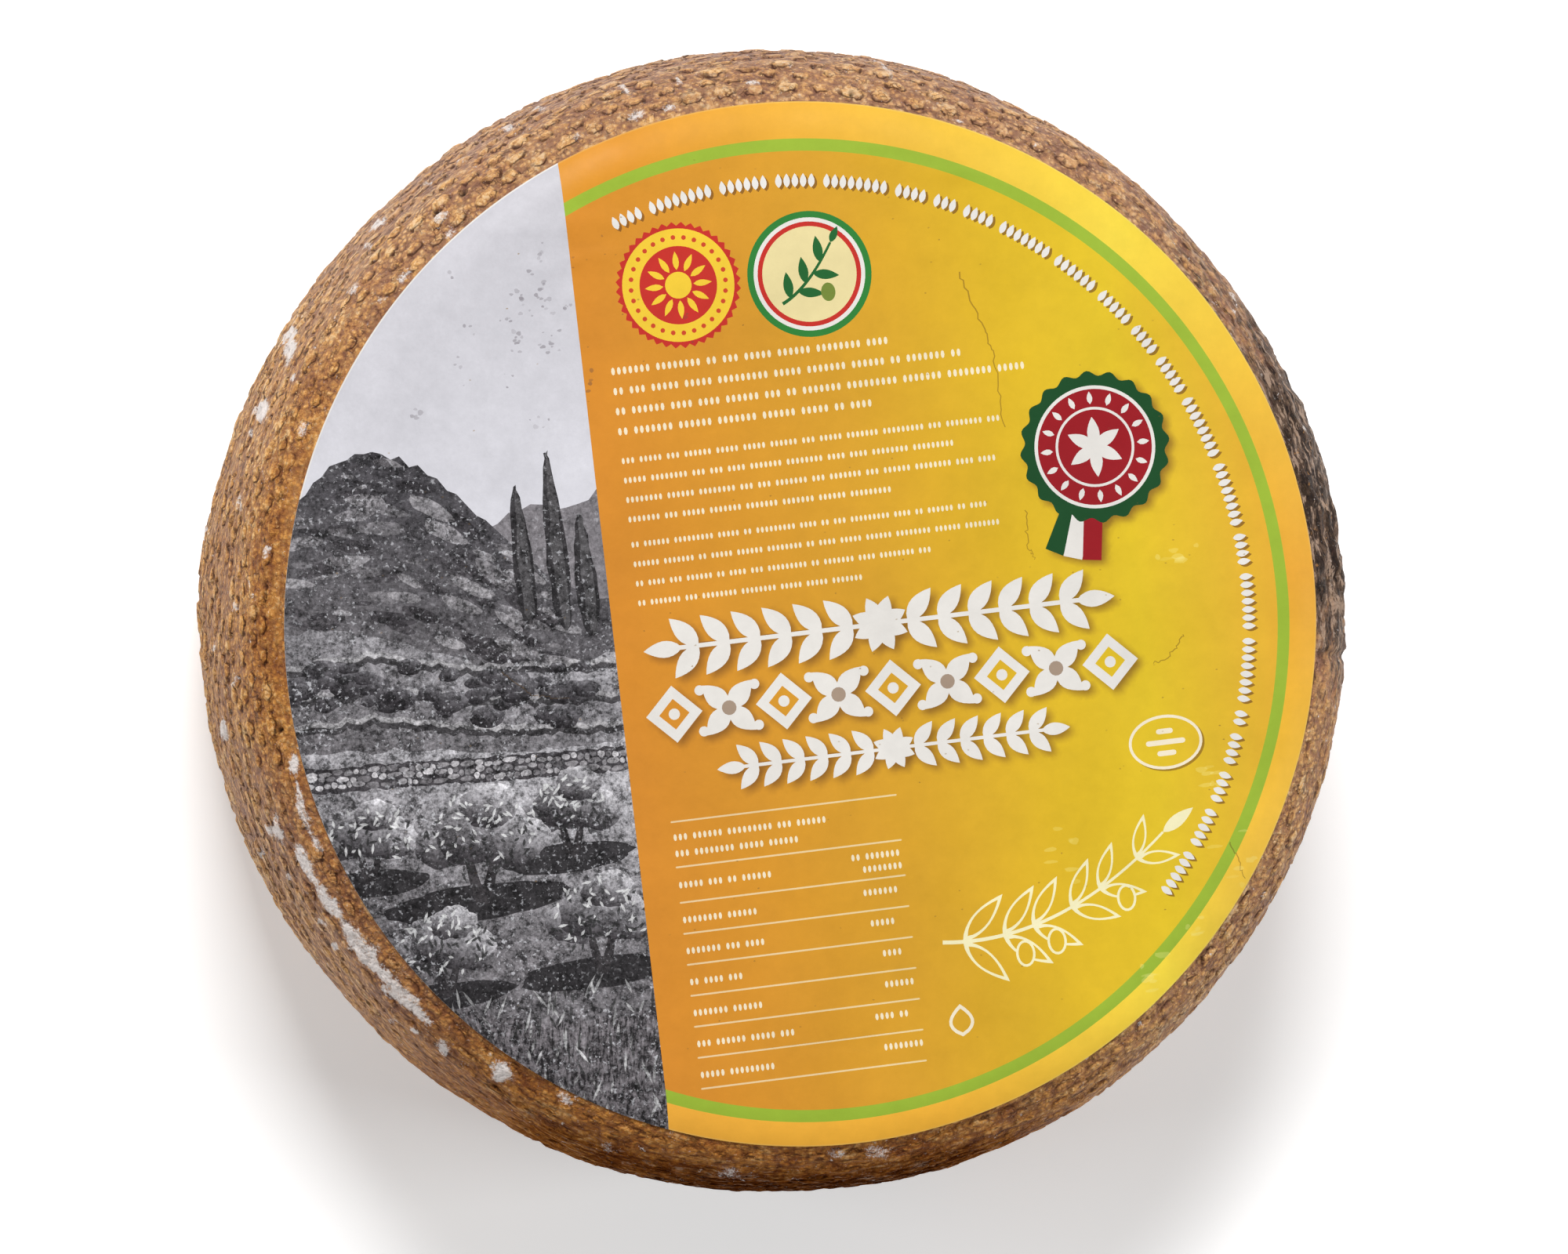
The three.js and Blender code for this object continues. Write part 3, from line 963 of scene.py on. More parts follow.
WHITE = (236, 232, 226)
TEXT = (248, 236, 208)
LEAF_GREEN = (38, 104, 52)
BADGE_GREEN = (52, 132, 60)
SEAL_GREEN = (30, 78, 42)
RING_GREEN = (160, 188, 60)
RED = (202, 52, 44)
SEAL_RED = (158, 30, 38)
CREAM = (238, 222, 164)
SUN_YELLOW = (246, 206, 60)
FRUIT = (120, 140, 60)
TWIG = (250, 242, 196)
PRINT_SHADOW = (104, 66, 34)
CRACK = (96, 66, 30)
SPECK = (130, 96, 50)
RUB = (255, 244, 170)
BARE_PAPER = (226, 222, 214)

# The coloured field: orange on the left, yellow past the middle and orange again at the right,
# at places along the print, and outside the ring at degrees round it
FIELD_PLACES = (-32, 10, 40, 58, 72, 82)
FIELD = [(220, 143, 49), (219, 162, 48), (227, 187, 43)]
FIELD += [(231, 198, 45), (230, 187, 52), (233, 179, 56)]
# from -112 to -50 degrees the margin is painted lighter, against the shade where the paper bends
# down away from the key light
MARGIN_TURNS = (-112, -80, -50, -32, -20, 0, 45, 75, 105)
MARGIN = [(255, 185, 68), (255, 190, 64), (255, 226, 72), (250, 200, 68), (250, 194, 60)]
MARGIN += [(237, 171, 58), (243, 214, 72), (240, 188, 64), (226, 152, 48)]


def field_colour(spots):
    def blend(value, places, shades):
        return np.stack([np.interp(value, places, band) for band in zip(*shades)], -1)

    off = spots - RING_CENTRE
    inner = blend(spots[..., 0], FIELD_PLACES, FIELD)
    outer = blend(np.degrees(np.arctan2(off[..., 1], off[..., 0])), MARGIN_TURNS, MARGIN)
    outside = np.hypot(off[..., 0], off[..., 1]) > RING_RADIUS
    return np.where(outside[..., None], outer, inner)


def sky_colour(spots):
    share = np.clip((spots[..., 1:] - 18) / 60, 0, 1)
    return np.array([222.0, 221, 228]) * (1 - share) + np.array([206.0, 204, 210]) * share


def shaded(at, reach, high, low):
    """Ink for a rounded thing that is bright on its upper right side and dark below."""

    dark, bright = np.array([low, low - 3.0, low]), np.array([high, high - 2.0, high + 2.0])

    def ink(spots):
        share = ((spots[..., 0] - at[0]) * 0.4 + spots[..., 1] - at[1]) / reach
        share = np.clip(share * 0.5 + 0.5, 0, 1)[..., None]
        return dark * (1 - share) + bright * share

    return ink


def grey(tone, less=0):
    return (tone, tone - less, tone)


def rough_line(points, sway, draw, step=2.0):
    """A line through the points with small steps up and down, as the crest of a hill."""
    along, levels = np.transpose(points).astype(float)
    runs = np.append(np.arange(along[0], along[-1] - step / 2, step), along[-1])
    levels = np.interp(runs, along, levels)
    levels[1:] += draw.uniform(-sway, sway, len(levels) - 1)
    return np.column_stack([runs, levels])


def ground(sheet, ridge, tone, grain):
    """A tract of the picture from its upper outline down to the bottom."""
    sheet.add(np.array([*ridge, (SPLIT, -95), (-95, -95)], float), tone, grain=grain)


def draw_olive_tree(sheet, at, size, draw):
    """A sunlit crown of small leaves on a twisted trunk, with the dark ground under it."""
    x, y = at
    shade = lumpy((x - size * 0.2, y - size * 1.1), size * 1.5, size * 0.3, 0.08, draw)
    sheet.add(shade, (44, 42, 44), 0.9, 0.6)
    for lean in (-0.25, 0.2):
        foot = (x - 0.1 * size, y - size * 1.1)
        trunk = curve(foot, (x + lean * size, y - size * 0.6), (x + lean * size, y))
        sheet.add(stroke(trunk, size * 0.2, 0.5), (58, 55, 57), grain=0.8)
    crowns = [(-0.55, -0.1, 0.55), (0.5, -0.15, 0.6), (0.0, 0.1, 0.8), (0.2, 0.45, 0.5)]
    for off_x, off_y, share in crowns:
        spot = (x + off_x * size, y + off_y * size)
        crown = lumpy(spot, size * share, size * share * 0.72, 0.1, draw, 40)
        sheet.add(crown, shaded(spot, size * share * 0.75, 204, 52), 0.95, 0.8)
    for _ in range(int(9 * size)):
        way, reach = draw.uniform(0, FULL_TURN), size * 0.85 * math.sqrt(draw.uniform(0, 1))
        spot = np.array((x + 1.1 * reach * math.cos(way), y + 0.75 * reach * math.sin(way)))
        tone = 228 if draw.uniform(-1, 1) < math.sin(way) + 0.2 else 48
        blade = leaf(spot, draw.uniform(0, 360), draw.uniform(0.9, 1.9), 0.5, 4)
        sheet.add(blade, grey(tone), 0.8, 0.3)


def draw_hills(sheet, draw):
    far = [(-95, 20), (-84, 22), (-70, 17), (-58, 20), (-46, 26), (-38, 24), (SPLIT, 27)]
    ground(sheet, rough_line(far, 0.5, draw), (128, 124, 128), 0.45)
    hill = [(-95, 22), (-86, 30), (-77, 37), (-70, 38), (-63, 34), (-55, 26), (-46, 16)]
    hill += [(-38, 10), (SPLIT, 8)]
    ground(sheet, rough_line(hill, 0.7, draw, 1.5), shaded((-68, 18), 26, 62, 112), 0.7)
    for _ in range(130):
        along = draw.uniform(-88, -40)
        crest = np.interp(along, *np.transpose(hill))
        level = crest - 1.5 - (crest + 2) * draw.uniform(0, 1)
        size = draw.uniform(0.6, 2.6)
        tone = draw.choice([44, 50, 60, 128, 150, 172])
        patch = lumpy((0, 0), size * 1.7, size * 0.5, 0.16, draw, 14)
        slant = math.radians(-30 + 25 * (along < -70) + draw.uniform(-14, 14))
        sheet.add(turned(patch, slant) + (along, level), grey(tone, 3), 0.55, 1.0)
    slope = [(-95, 8), (-82, 9), (-70, 5), (-58, 0), (-46, -3), (SPLIT, -1)]
    ground(sheet, rough_line(slope, 0.6, draw), shaded((-60, -8), 16, 150, 96), 0.9)


def draw_cypresses(sheet, draw):
    for (x, y), height in (((-41.5, 3), 31), ((-47.5, 5), 24), ((-37, 2), 21)):
        for share, tone in ((1.0, 46), (0.55, 86)):
            crown = oval((x, y + height * 0.52), 1.9, height * 0.5, 26)
            taper = share * (1.25 - 0.65 * (crown[:, 1] - y) / height)
            crown[:, 0] = x + (crown[:, 0] - x) * taper + 0.5 * (1 - share)
            sheet.add(crown + draw.uniform(-0.25, 0.25, crown.shape), grey(tone, 2), 0.9, 0.7)


def draw_terraces(sheet, draw):
    for level, tone in ((2.5, 168), (-3.0, 160), (-8.0, 176)):
        points = [(-95, level), (-75, level + 1), (-58, level - 3), (SPLIT, level - 5)]
        line = rough_line(points, 0.5, draw, 1.2)
        sheet.add(stroke(line - (0, 0.9), 1.2), (52, 50, 52), 0.8, 0.8)
        sheet.add(stroke(line, 0.9), grey(tone, 2), 0.7, 1.0)
    for _ in range(46):
        along = draw.uniform(-90, -36)
        level = -2 - 0.1 * (along + 88) + draw.uniform(-4.5, 5)
        size = draw.uniform(1.0, 3.0)
        bush = lumpy((along, level), size * 1.2, size * 0.75, 0.12, draw, 18)
        sheet.add(bush, shaded((along, level), size, 112, 34), 0.95, 0.9)


def draw_wall(sheet, draw):
    foot = rough_line([(-92, -16.6), (-70, -17.4), (-50, -18.4), (SPLIT, -19)], 0.3, draw, 1.0)
    sheet.add(stroke(foot, 4.2), (58, 55, 58), 0.9, 1.0)
    for row in range(3):
        along = -91.0
        while along < SPLIT:
            half = draw.uniform(0.4, 1.3)
            level = -15.4 - 0.05 * (along + 89) - 1.15 * row + draw.uniform(-0.3, 0.3)
            tone = draw.uniform(112, 216)
            at = (along + half, level)
            stone = lumpy(at, half * 0.94, draw.uniform(0.4, 0.6), 0.13, draw, 10)
            sheet.add(stone, grey(tone, 3), draw.uniform(0.7, 1), 0.7)
            along += 2 * half


OLIVE_TREES = [(-79, -27, 7.5), (-44, -26, 8.0), (-60, -29, 10.5), (-41, -45, 9.0), (-68, -47, 8.0)]


def draw_picture(sheet):
    """Grey country scene: hills, cypresses, terraces, a stone wall, olive trees and grass."""
    draw = np.random.default_rng(5)
    reach = LABEL_RADIUS - BARE_EDGE
    half = math.degrees(math.acos(-SPLIT / reach))
    turns = np.radians(np.linspace(180 - half, 180 + half, 150))
    sheet.add(polar(reach, turns), sky_colour, grain=0.03)
    draw_hills(sheet, draw)
    draw_cypresses(sheet, draw)
    draw_terraces(sheet, draw)
    meadow = [(-95, -12), (-72, -13), (-50, -16), (SPLIT, -16)]
    ground(sheet, rough_line(meadow, 0.5, draw), shaded((-60, -32), 18, 168, 104), 1.0)
    draw_wall(sheet, draw)
    for x, y, size in OLIVE_TREES:
        draw_olive_tree(sheet, (x, y), size, draw)
    grass = [(-95, -53), (-72, -57), (-58, -61), (-44, -63), (SPLIT, -62)]
    ground(sheet, rough_line(grass, 1.0, draw, 0.8), (98, 94, 97), 2.0)
    for _ in range(150):
        spot = np.array((draw.uniform(-74, -34), draw.uniform(-86, -58)))
        blade = leaf(spot, draw.uniform(55, 125), draw.uniform(2, 5), 0.5, 4)
        sheet.add(blade, grey(draw.choice([44, 60, 172, 205])), 0.7, 0.6)


def draw_words(sheet, left, level, width, draw, height=1.2):
    """A row of upright beads in groups of uneven length, where a line of text would be."""
    pitch = 0.74 * height
    at = left
    while at < left + width - 2 * pitch:
        for _ in range(draw.integers(2, 10)):
            if at < left + width:
                sheet.add(oval((at, level), 0.24 * height, height / 2, 8), TEXT, 0.95)
            at += pitch
        at += 0.8 * pitch


def draw_texts(sheet):
    """Three blocks of lines, a ruled table under them, and a line round the rim."""
    draw = np.random.default_rng(17)
    for top, pitch, widths, height in (
        (46.8, 3.45, (50, 62, 71, 44), 1.35),
        (31.4, 3.35, (66, 57, 64, 46), 1.1),
        (17.0, 3.35, (62, 65, 51, 40), 1.05),
    ):
        for line, width in enumerate(widths):
            draw_words(sheet, -28.3, top - pitch * line, width, draw, height)
    for level, width in ((-33.6, 26), (-36.4, 21)):
        draw_words(sheet, -26.8, level, width, draw)
    for level in (-30.9, -38.7, *(-44.8 - 5.35 * row for row in range(7))):
        sheet.add(bar(-27.3, level, 39.5, 0.3), TEXT, 0.7)
    for row in range(6):
        level = -47.4 - 5.35 * row
        draw_words(sheet, -26.8, level - 0.4, draw.uniform(9, 18), draw)
        width = draw.uniform(5, 8)
        draw_words(sheet, 12 - width, level + 0.4, width, draw)
    for left, level, width in ((-26.8, -41.8, 16), (3.4, -40.8, 8.2), (5.2, -43.0, 6.4)):
        draw_words(sheet, left, level, width, draw)

    angle = 109.0
    while angle > -43:
        for _ in range(draw.integers(2, 9)):
            foot = turned((76.0, 0), math.radians(angle)) + RING_CENTRE
            sheet.add(leaf(foot + (0.4, -0.4), angle, 2.4, 1.15), PRINT_SHADOW, 0.6)
            sheet.add(leaf(foot, angle, 2.4, 1.15), WHITE)
            angle -= 1.06
        angle -= 0.9


def draw_garland(sheet, left, right, level, height):
    """A bold twig of leaves in pairs that run outwards from a flower in the middle."""
    middle = (left + right) / 2
    pitch = height * 0.56
    pairs = int((right - middle - height * 0.75) / pitch)

    def add_leaf(at, slant, length, width):
        sheet.add(leaf((at, level), slant, height * length, height * width), WHITE, casts=True)

    for side in (1, -1):
        back = 0 if side > 0 else 180
        stem_end = middle + side * (pitch * pairs + height * 0.9)
        stem = np.array([(middle, level), (stem_end, level)])
        sheet.add(stroke(stem, height * 0.08), WHITE, casts=True)
        for pair in range(pairs + 1):
            for lean in (48, -48):
                at = middle + side * (height * 0.5 + pitch * pair)
                add_leaf(at, back + side * lean, 0.72, 0.33)
        add_leaf(stem_end - side * height * 0.1, back, 0.7, 0.3)
    draw_flower(sheet, (middle, level), height * 0.52, 8, 0.55, casts=True)


def draw_flower(sheet, at, reach, petals, width, casts=False):
    for petal in range(petals):
        outline = leaf(at, 360 / petals * (petal + 0.5), reach, reach * width)
        sheet.add(outline, WHITE, casts=casts)
    sheet.add(oval(at, reach * 0.24, points=16), WHITE, casts=casts)


def draw_frieze(sheet, left, right, level, height):
    """Lozenges and four-petalled flowers in turn, with a dot over and under each join."""
    count = 9
    pitch = (right - left) / count
    for number in range(count):
        at = np.array((left + pitch * (number + 0.5), level))
        if number % 2:
            for slant in (45, 135, 225, 315):
                sheet.add(leaf(at, slant, height * 0.62, height * 0.36), WHITE, casts=True)
            sheet.add(oval(at, height * 0.13, points=14), PRINT_SHADOW, 0.5)
        else:
            for reach, ink in ((0.5, WHITE), (0.27, field_colour)):
                points = np.array([(reach, 0), (0, reach), (-reach, 0), (0, -reach)]) * height
                sheet.add(points + at, ink, casts=ink is WHITE)
            sheet.add(oval(at, height * 0.1, points=14), WHITE)
        for side in (1, -1) if number else ():
            dot = (left + pitch * number, level + side * height * 0.36)
            sheet.add(oval(dot, height * 0.09, points=14), WHITE, casts=True)


def draw_sprig(sheet, at, size, width, slant):
    """Outlines of an olive twig: leaves on both sides of a curved stem, and three fruits."""
    last = 23
    stem = curve((-0.55, -0.42), (0.1, -0.3), (0.55, 0.42), last + 1)
    spine = turned(stem * size, math.radians(slant)) + at
    sheet.add(stroke(spine, width * 1.1, 0.4), TWIG)
    for number, share in enumerate((0.12, 0.27, 0.42, 0.57, 0.72, 0.87)):
        place = int(share * last)
        spot = spine[place]
        way = spine[min(place + 1, last)] - spot
        heading = math.degrees(math.atan2(way[1], way[0]))
        for side in (1, -1):
            length = size * (0.36 - 0.12 * share)
            outline = leaf(spot, heading + side * (46 - 10 * share), length, length * 0.3, 11)
            middle = outline.mean(0)
            hollow = middle + (outline - middle) * 0.86 * (1 - 0.6 * width / (length * 0.3))
            sheet.add(outline, TWIG)
            sheet.add(hollow, field_colour)
        if number in (1, 2, 4):
            fruit = spot + turned((size * 0.1, -size * 0.13), math.radians(heading))
            for rim, ink in ((0.0, TWIG), (width * 0.7, field_colour)):
                sheet.add(oval(fruit, size * 0.055 - rim, size * 0.075 - rim, 20), ink)
    sheet.add(leaf(spine[-1], 50 + slant, size * 0.22, size * 0.07), TWIG)


def draw_badges(sheet):
    """A badge with an olive twig in colour, and one with a sun."""
    badge = np.array((7.4, 59.6))
    sheet.discs(badge, 72, (10.8, BADGE_GREEN), (9.7, WHITE), (9.0, RED), (8.2, CREAM))
    stem = curve(badge + (-5.2, -4.6), badge + (-0.5, -2.5), badge + (4.2, 5.0))
    sheet.add(stroke(stem, 0.6, 0.3), LEAF_GREEN)
    for number in range(5):
        side = 1 if number % 2 == 0 else -1
        sheet.add(leaf(stem[2 + 2 * number], 42 + 52 * side, 4.6, 1.7), LEAF_GREEN)
    sheet.add(leaf(stem[-1], 60, 3.0, 1.3), LEAF_GREEN)
    sheet.add(oval(badge + (2.9, -3.4), 1.25, 1.6, 20), FRUIT)

    sun = np.array((-15.4, 60.2))
    sheet.add(oval(sun, 10.5, points=160, lobes=40, lobe_size=0.032), RED)
    sheet.discs(sun, 64, (9.7, SUN_YELLOW), (6.7, RED))
    for number in range(28):
        spot = sun + turned((8.2, 0), FULL_TURN * number / 28)
        sheet.add(oval(spot, 0.42, points=8), RED, 0.85)
    for number in range(12):
        foot = sun + turned((2.6, 0), math.pi * number / 6)
        sheet.add(leaf(foot, 30 * number, 3.2, 1.1, 6), SUN_YELLOW)
    sheet.discs(sun, 28, (2.3, SUN_YELLOW))


def draw_seal(sheet):
    """A scalloped seal with a flower, on a short tricolour ribbon."""
    seal = np.array((53.5, 24.5))
    for slant, ink in ((-118, SEAL_GREEN), (-108, WHITE), (-98, SEAL_RED)):
        line = np.array([seal, seal + turned((19.5, 0), math.radians(slant))])
        sheet.add(stroke(line, 3.3), ink, casts=True)
    sheet.add(oval(seal, 12.7, points=160, lobes=20, lobe_size=0.035), SEAL_GREEN, casts=True)
    sheet.discs(seal, 64, (10.6, WHITE), (10.0, SEAL_RED), (6.9, WHITE), (6.45, SEAL_RED))
    for number in range(16):
        turn = math.pi * number / 8
        foot = seal + turned((8.5, 0), turn) - turned((1.1, 0), turn)
        sheet.add(leaf(foot, 22.5 * number, 2.2, 1.0, 5), WHITE)
    draw_flower(sheet, seal, 5.2, 6, 0.42)


def draw_marks(sheet):
    """An oval mark, a small droplet and the outline of an olive twig."""
    mark = np.array((60.0, -27.5))
    for shift, ink, cover in (((0.35, -0.35), PRINT_SHADOW, 0.5), ((0, 0), TEXT, 1.0)):
        sheet.add(oval(mark + shift, 6.5, 4.7, 44), ink, cover)
        sheet.add(oval(mark + shift, 6.0, 4.2, 44), field_colour)
    for level, width in ((1.9, 3.0), (0, 7.0), (-1.9, 3.4)):
        sheet.add(bar(mark[0] - width / 2, mark[1] + level, width, 0.9), TEXT)
    drop = np.array((19, -71))
    for size, ink in ((1.0, TEXT), (0.74, field_colour)):
        sheet.add(leaf(drop - (0, 2.6 * size), 90, 5.6 * size, 4.4 * size), ink)
    draw_sprig(sheet, (37.5, -50), 31, 0.62, -18)


# Hairline cracks in the paper, as points and width
CRACKS = [
    ([(34.5, 57.0), (37.6, 47.2), (38.9, 41.9), (39.2, 29.8)], 0.26),
    ([(27.4, 33.4), (29.6, 31.5)], 0.2),
    ([(41.4, 15.0), (41.0, 8.8), (42.2, 6.5)], 0.2),
    ([(66.6, -9.4), (63.2, -13.4), (58.5, -14.0)], 0.22),
    ([(50.5, -29.6), (54.4, -31.5)], 0.2),
    ([(70.5, -46.0), (72.6, -52.4)], 0.22),
    ([(-52.0, -2.0), (-47.5, -6.5), (-41.0, -8.0)], 0.2),
]
# Places where the print is rubbed, and how far the rubs spread
RUBS = [(70, -50, 2.2), (63, -60, 1.8), (52, -67, 1.6)]
RUBS += [(67, -34, 1.4), (66, 4, 2.0), (40, -44, 2.0)]


def draw_wear(sheet):
    """Cracks, brown specks and scuffs."""
    draw = np.random.default_rng(23)
    for line, width in CRACKS:
        line = np.array(line) - (1.2, 0)
        sheet.add(stroke(wander(line, 0.3, draw), width, 0.3), CRACK, 0.4)
    for _ in range(34):
        middle = np.array((draw.normal(-38, 9), draw.normal(56, 7)))
        tone = (120, 84, 66) if middle[0] > SPLIT else (128, 122, 128)
        for _ in range(draw.integers(1, 6)):
            size = draw.uniform(0.14, 0.5)
            spot = middle + draw.normal(0, 0.8, 2)
            speck = lumpy(spot, size, size * draw.uniform(0.5, 1), 0.25, draw, 8)
            sheet.add(speck, tone, draw.uniform(0.15, 0.5))
    for *middle, size in RUBS:
        for _ in range(7):
            spot = middle + draw.normal(0, size, 2)
            rub = lumpy(spot, draw.uniform(0.4, 1.4), draw.uniform(0.2, 0.6), 0.25, draw, 10)
            sheet.add(rub, RUB, draw.uniform(0.12, 0.3))
    for _ in range(160):
        spot = turned((82 * math.sqrt(draw.uniform(0, 1)), 0), draw.uniform(0, 7))
        sheet.add(lumpy(spot, 0.2, 0.14, 0.3, draw, 6), SPECK, draw.uniform(0.15, 0.5))


def draw_print():
    sheet = Print()
    sheet.add(oval((0, 0), LABEL_RADIUS + 1, points=90), WHITE, 0.15)
    sheet.discs((0, 0), RIM_POINTS, (LABEL_RADIUS - BARE_EDGE, field_colour))
    outer, inner = RING_RADIUS + RING_WIDTH / 2, RING_RADIUS - RING_WIDTH / 2
    sheet.discs(RING_CENTRE, 240, (outer, RING_GREEN), (inner, field_colour))
    sheet.limit = SPLIT
    sheet.discs((0, 0), 90, (LABEL_RADIUS + 1, WHITE))
    draw_picture(sheet)
    sheet.limit = math.inf
    draw_texts(sheet)
    sheet.shadow_after = len(sheet.inks)
    draw_garland(sheet, -23.3, 48.7, -1.4, 9.6)
    draw_frieze(sheet, -29.3, 56.7, -12.6, 9.8)
    draw_garland(sheet, -16.3, 41.7, -22.9, 7.2)
    draw_badges(sheet)
    draw_seal(sheet)
    draw_marks(sheet)
    draw_wear(sheet)
    return sheet


# ---------------------------------------------------------------- label mesh

INK_DEPTH = 0.88  # the inks are this much deeper than they look under the studio's light
PAPER_LIFT = 0.45  # top of the paper over the plain section
PAPER_FOOT = 0.26  # and its underside
LATTICE = 2.4
FINE_LATTICE = 0.8
BEND_RINGS = 5  # rings of points over the stretch where the paper bends
# Parts of the print with soft shadows, from corner to corner
SHADOWED = [((-30, -28.5), (60, 6.5)), ((36, 1), (70, 40)), ((-84, -60), (-34, 36))]
# Rings of the underside, as radius and number of points
UNDER_RINGS = [(88.0, 180), (85.5, 120), (82.85, 90), (55, 40), (25, 18), (0, 1)]

# Soft creases in the paper, as place, slant in degrees, half length, half width and height
CREASES = [
    (-44, 68, 4, 15, 1.6, 0.24),
    (-40, 62, 12, 12, 1.4, 0.18),
    (-36, -70, 8, 10, 1.5, 0.1),
    (8, -74, 6, 12, 1.3, 0.1),
    (58, 30, 70, 10, 1.4, 0.14),
    (36, -66, -20, 9, 1.4, 0.08),
    (22, 78, -8, 10, 1.3, 0.14),
    (70, -30, 80, 12, 1.5, 0.14),
]


def bent_level(radius, lift):
    """Height of a sheet that lies over the top face at a lift and bends down over the shoulder."""
    over = SHOULDER_RADIUS + lift
    bend = np.clip(radius - section.flat_radius, 0, None)
    return WHEEL_HEIGHT + lift - (over - np.sqrt(over**2 - bend**2))


def paper_height(spots):
    """Height of the paper's upper side, with its gentle waves and creases."""
    x, y = spots[..., 0], spots[..., 1]
    radius, turn = np.hypot(x, y), np.arctan2(y, x)
    broad = 0.09 * np.sin(x / 9.5 + 1.3 * np.sin(y / 17)) * np.sin(y / 12.5 + 0.8)
    margin = 0.1 * np.sin(17 * turn + 2 * np.sin(3 * turn)) + 0.06 * np.sin(29 * turn + 1)
    creases = 0
    for at_x, at_y, slant, length, width, rise in CREASES:
        cos, sin = math.cos(math.radians(slant)), math.sin(math.radians(slant))
        run = (x - at_x) * cos + (y - at_y) * sin
        side = (y - at_y) * cos - (x - at_x) * sin
        creases = creases + rise * np.exp(-((run / length) ** 2) - (side / width) ** 2)
    waves = broad + creases + 0.07 + (margin + 0.12) * smoothstep(radius, 72, LABEL_RADIUS)
    return bent_level(radius, PAPER_LIFT) + waves * 0.8 - 0.1


def paper_normals(spots):
    step = 0.02
    slope = []
    for axis in ((step, 0), (0, step)):
        slope.append((paper_height(spots + axis) - paper_height(spots - axis)) / (2 * step))
    normals = np.column_stack([-slope[0], -slope[1], np.ones(len(spots))])
    return normals / np.linalg.norm(normals, axis=1)[:, None]


def lattice(low, high, spacing):
    """Staggered points over the flat part of a rectangle."""
    along = np.arange(low[0], high[0], spacing)
    rows = []
    for row, level in enumerate(np.arange(low[1], high[1], spacing * ROW_SHARE)):
        rows.append(np.column_stack([along + spacing / 2 * (row % 2), np.full(len(along), level)]))
    spots = np.vstack(rows)
    return spots[np.hypot(*spots.T) < section.flat_radius - 1]


def paper_spots():
    """Points over the paper: a lattice, a finer one under shadows, and rings where it bends."""
    spots = [lattice((-LABEL_RADIUS, -LABEL_RADIUS), (LABEL_RADIUS, LABEL_RADIUS), LATTICE)]
    spots += [turned(lattice(low, high, FINE_LATTICE), PRINT_TURN) for low, high in SHADOWED]
    for number in range(BEND_RINGS):
        radius = section.flat_radius + (LABEL_RADIUS - section.flat_radius) * number / BEND_RINGS
        spots.append(polar(radius, (np.arange(240) + 0.5 * (number % 2)) * FULL_TURN / 240))
    return np.vstack(spots)


def cut_sheet(sheet):
    """The paper cut along every outline: its points and triangles, and those in each outline."""
    outlines = [oval((0, 0), LABEL_RADIUS, points=RIM_POINTS)]
    outlines += [turned(outline, PRINT_TURN) for outline in sheet.outlines]
    numbers = []
    for outline in outlines:
        start = numbers[-1][-1] + 1 if numbers else 0
        numbers.append(list(range(start, start + len(outline))))
    vectors = [Vector(spot) for spot in np.vstack([*outlines, paper_spots()])]
    found = delaunay_2d_cdt(vectors, [], numbers, 0, CUT_PRECISION, True)
    spots = np.array([tuple(spot) for spot in found[0]])
    kept = [(face, origin) for face, origin in zip(found[2], found[5]) if 0 in origin]
    members = [[] for _ in outlines]
    for number, (_face, origin) in enumerate(kept):
        for outline in origin:
            members[outline].append(number)
    return spots, np.array([face for face, _origin in kept]), members[1:]


def lay_inks(sheet, printed, top, members):
    """Colour at each corner and grain of each triangle, once every shape has been laid on."""
    corners = printed[top]
    shade = field_colour(corners)
    grain = np.zeros(len(top))
    shadow = sheet.shadow(printed)[top][..., None] * SHADOW_DEPTH
    sides = printed[top[:, 1:]] - printed[top[:, :1]]
    areas = np.abs(sides[:, 0, 0] * sides[:, 1, 1] - sides[:, 0, 1] * sides[:, 1, 0]) / 2
    for number, (ink, cover, shape_grain) in enumerate(sheet.inks):
        if number == sheet.shadow_after:
            shade = shade * (1 - shadow) + np.array(PRINT_SHADOW) * shadow
        faces = np.array(members[number], int)
        if not len(faces) or areas[faces].sum() > 2 * area_within(sheet.outlines[number]) + 1:
            continue  # its outline was lost between its neighbours', and it would spill over
        over = ink(corners[faces]) if callable(ink) else np.array(ink, float)
        shade[faces] = shade[faces] * (1 - cover) + over * cover
        grain[faces] = grain[faces] * (1 - cover) + shape_grain * cover
    return shade, grain


def underside(rim_turns):
    """Points and triangles of the paper's underside, from given azimuths on its rim."""
    rings = [rim_turns, *(np.arange(count) * FULL_TURN / count for _radius, count in UNDER_RINGS)]
    radii = [LABEL_RADIUS, *(radius for radius, _count in UNDER_RINGS)]
    radius = np.repeat(radii, [len(ring) for ring in rings])
    outward = polar(radius, np.concatenate(rings))
    return np.column_stack([outward, bent_level(radius, PAPER_FOOT)]), stitch(rings)


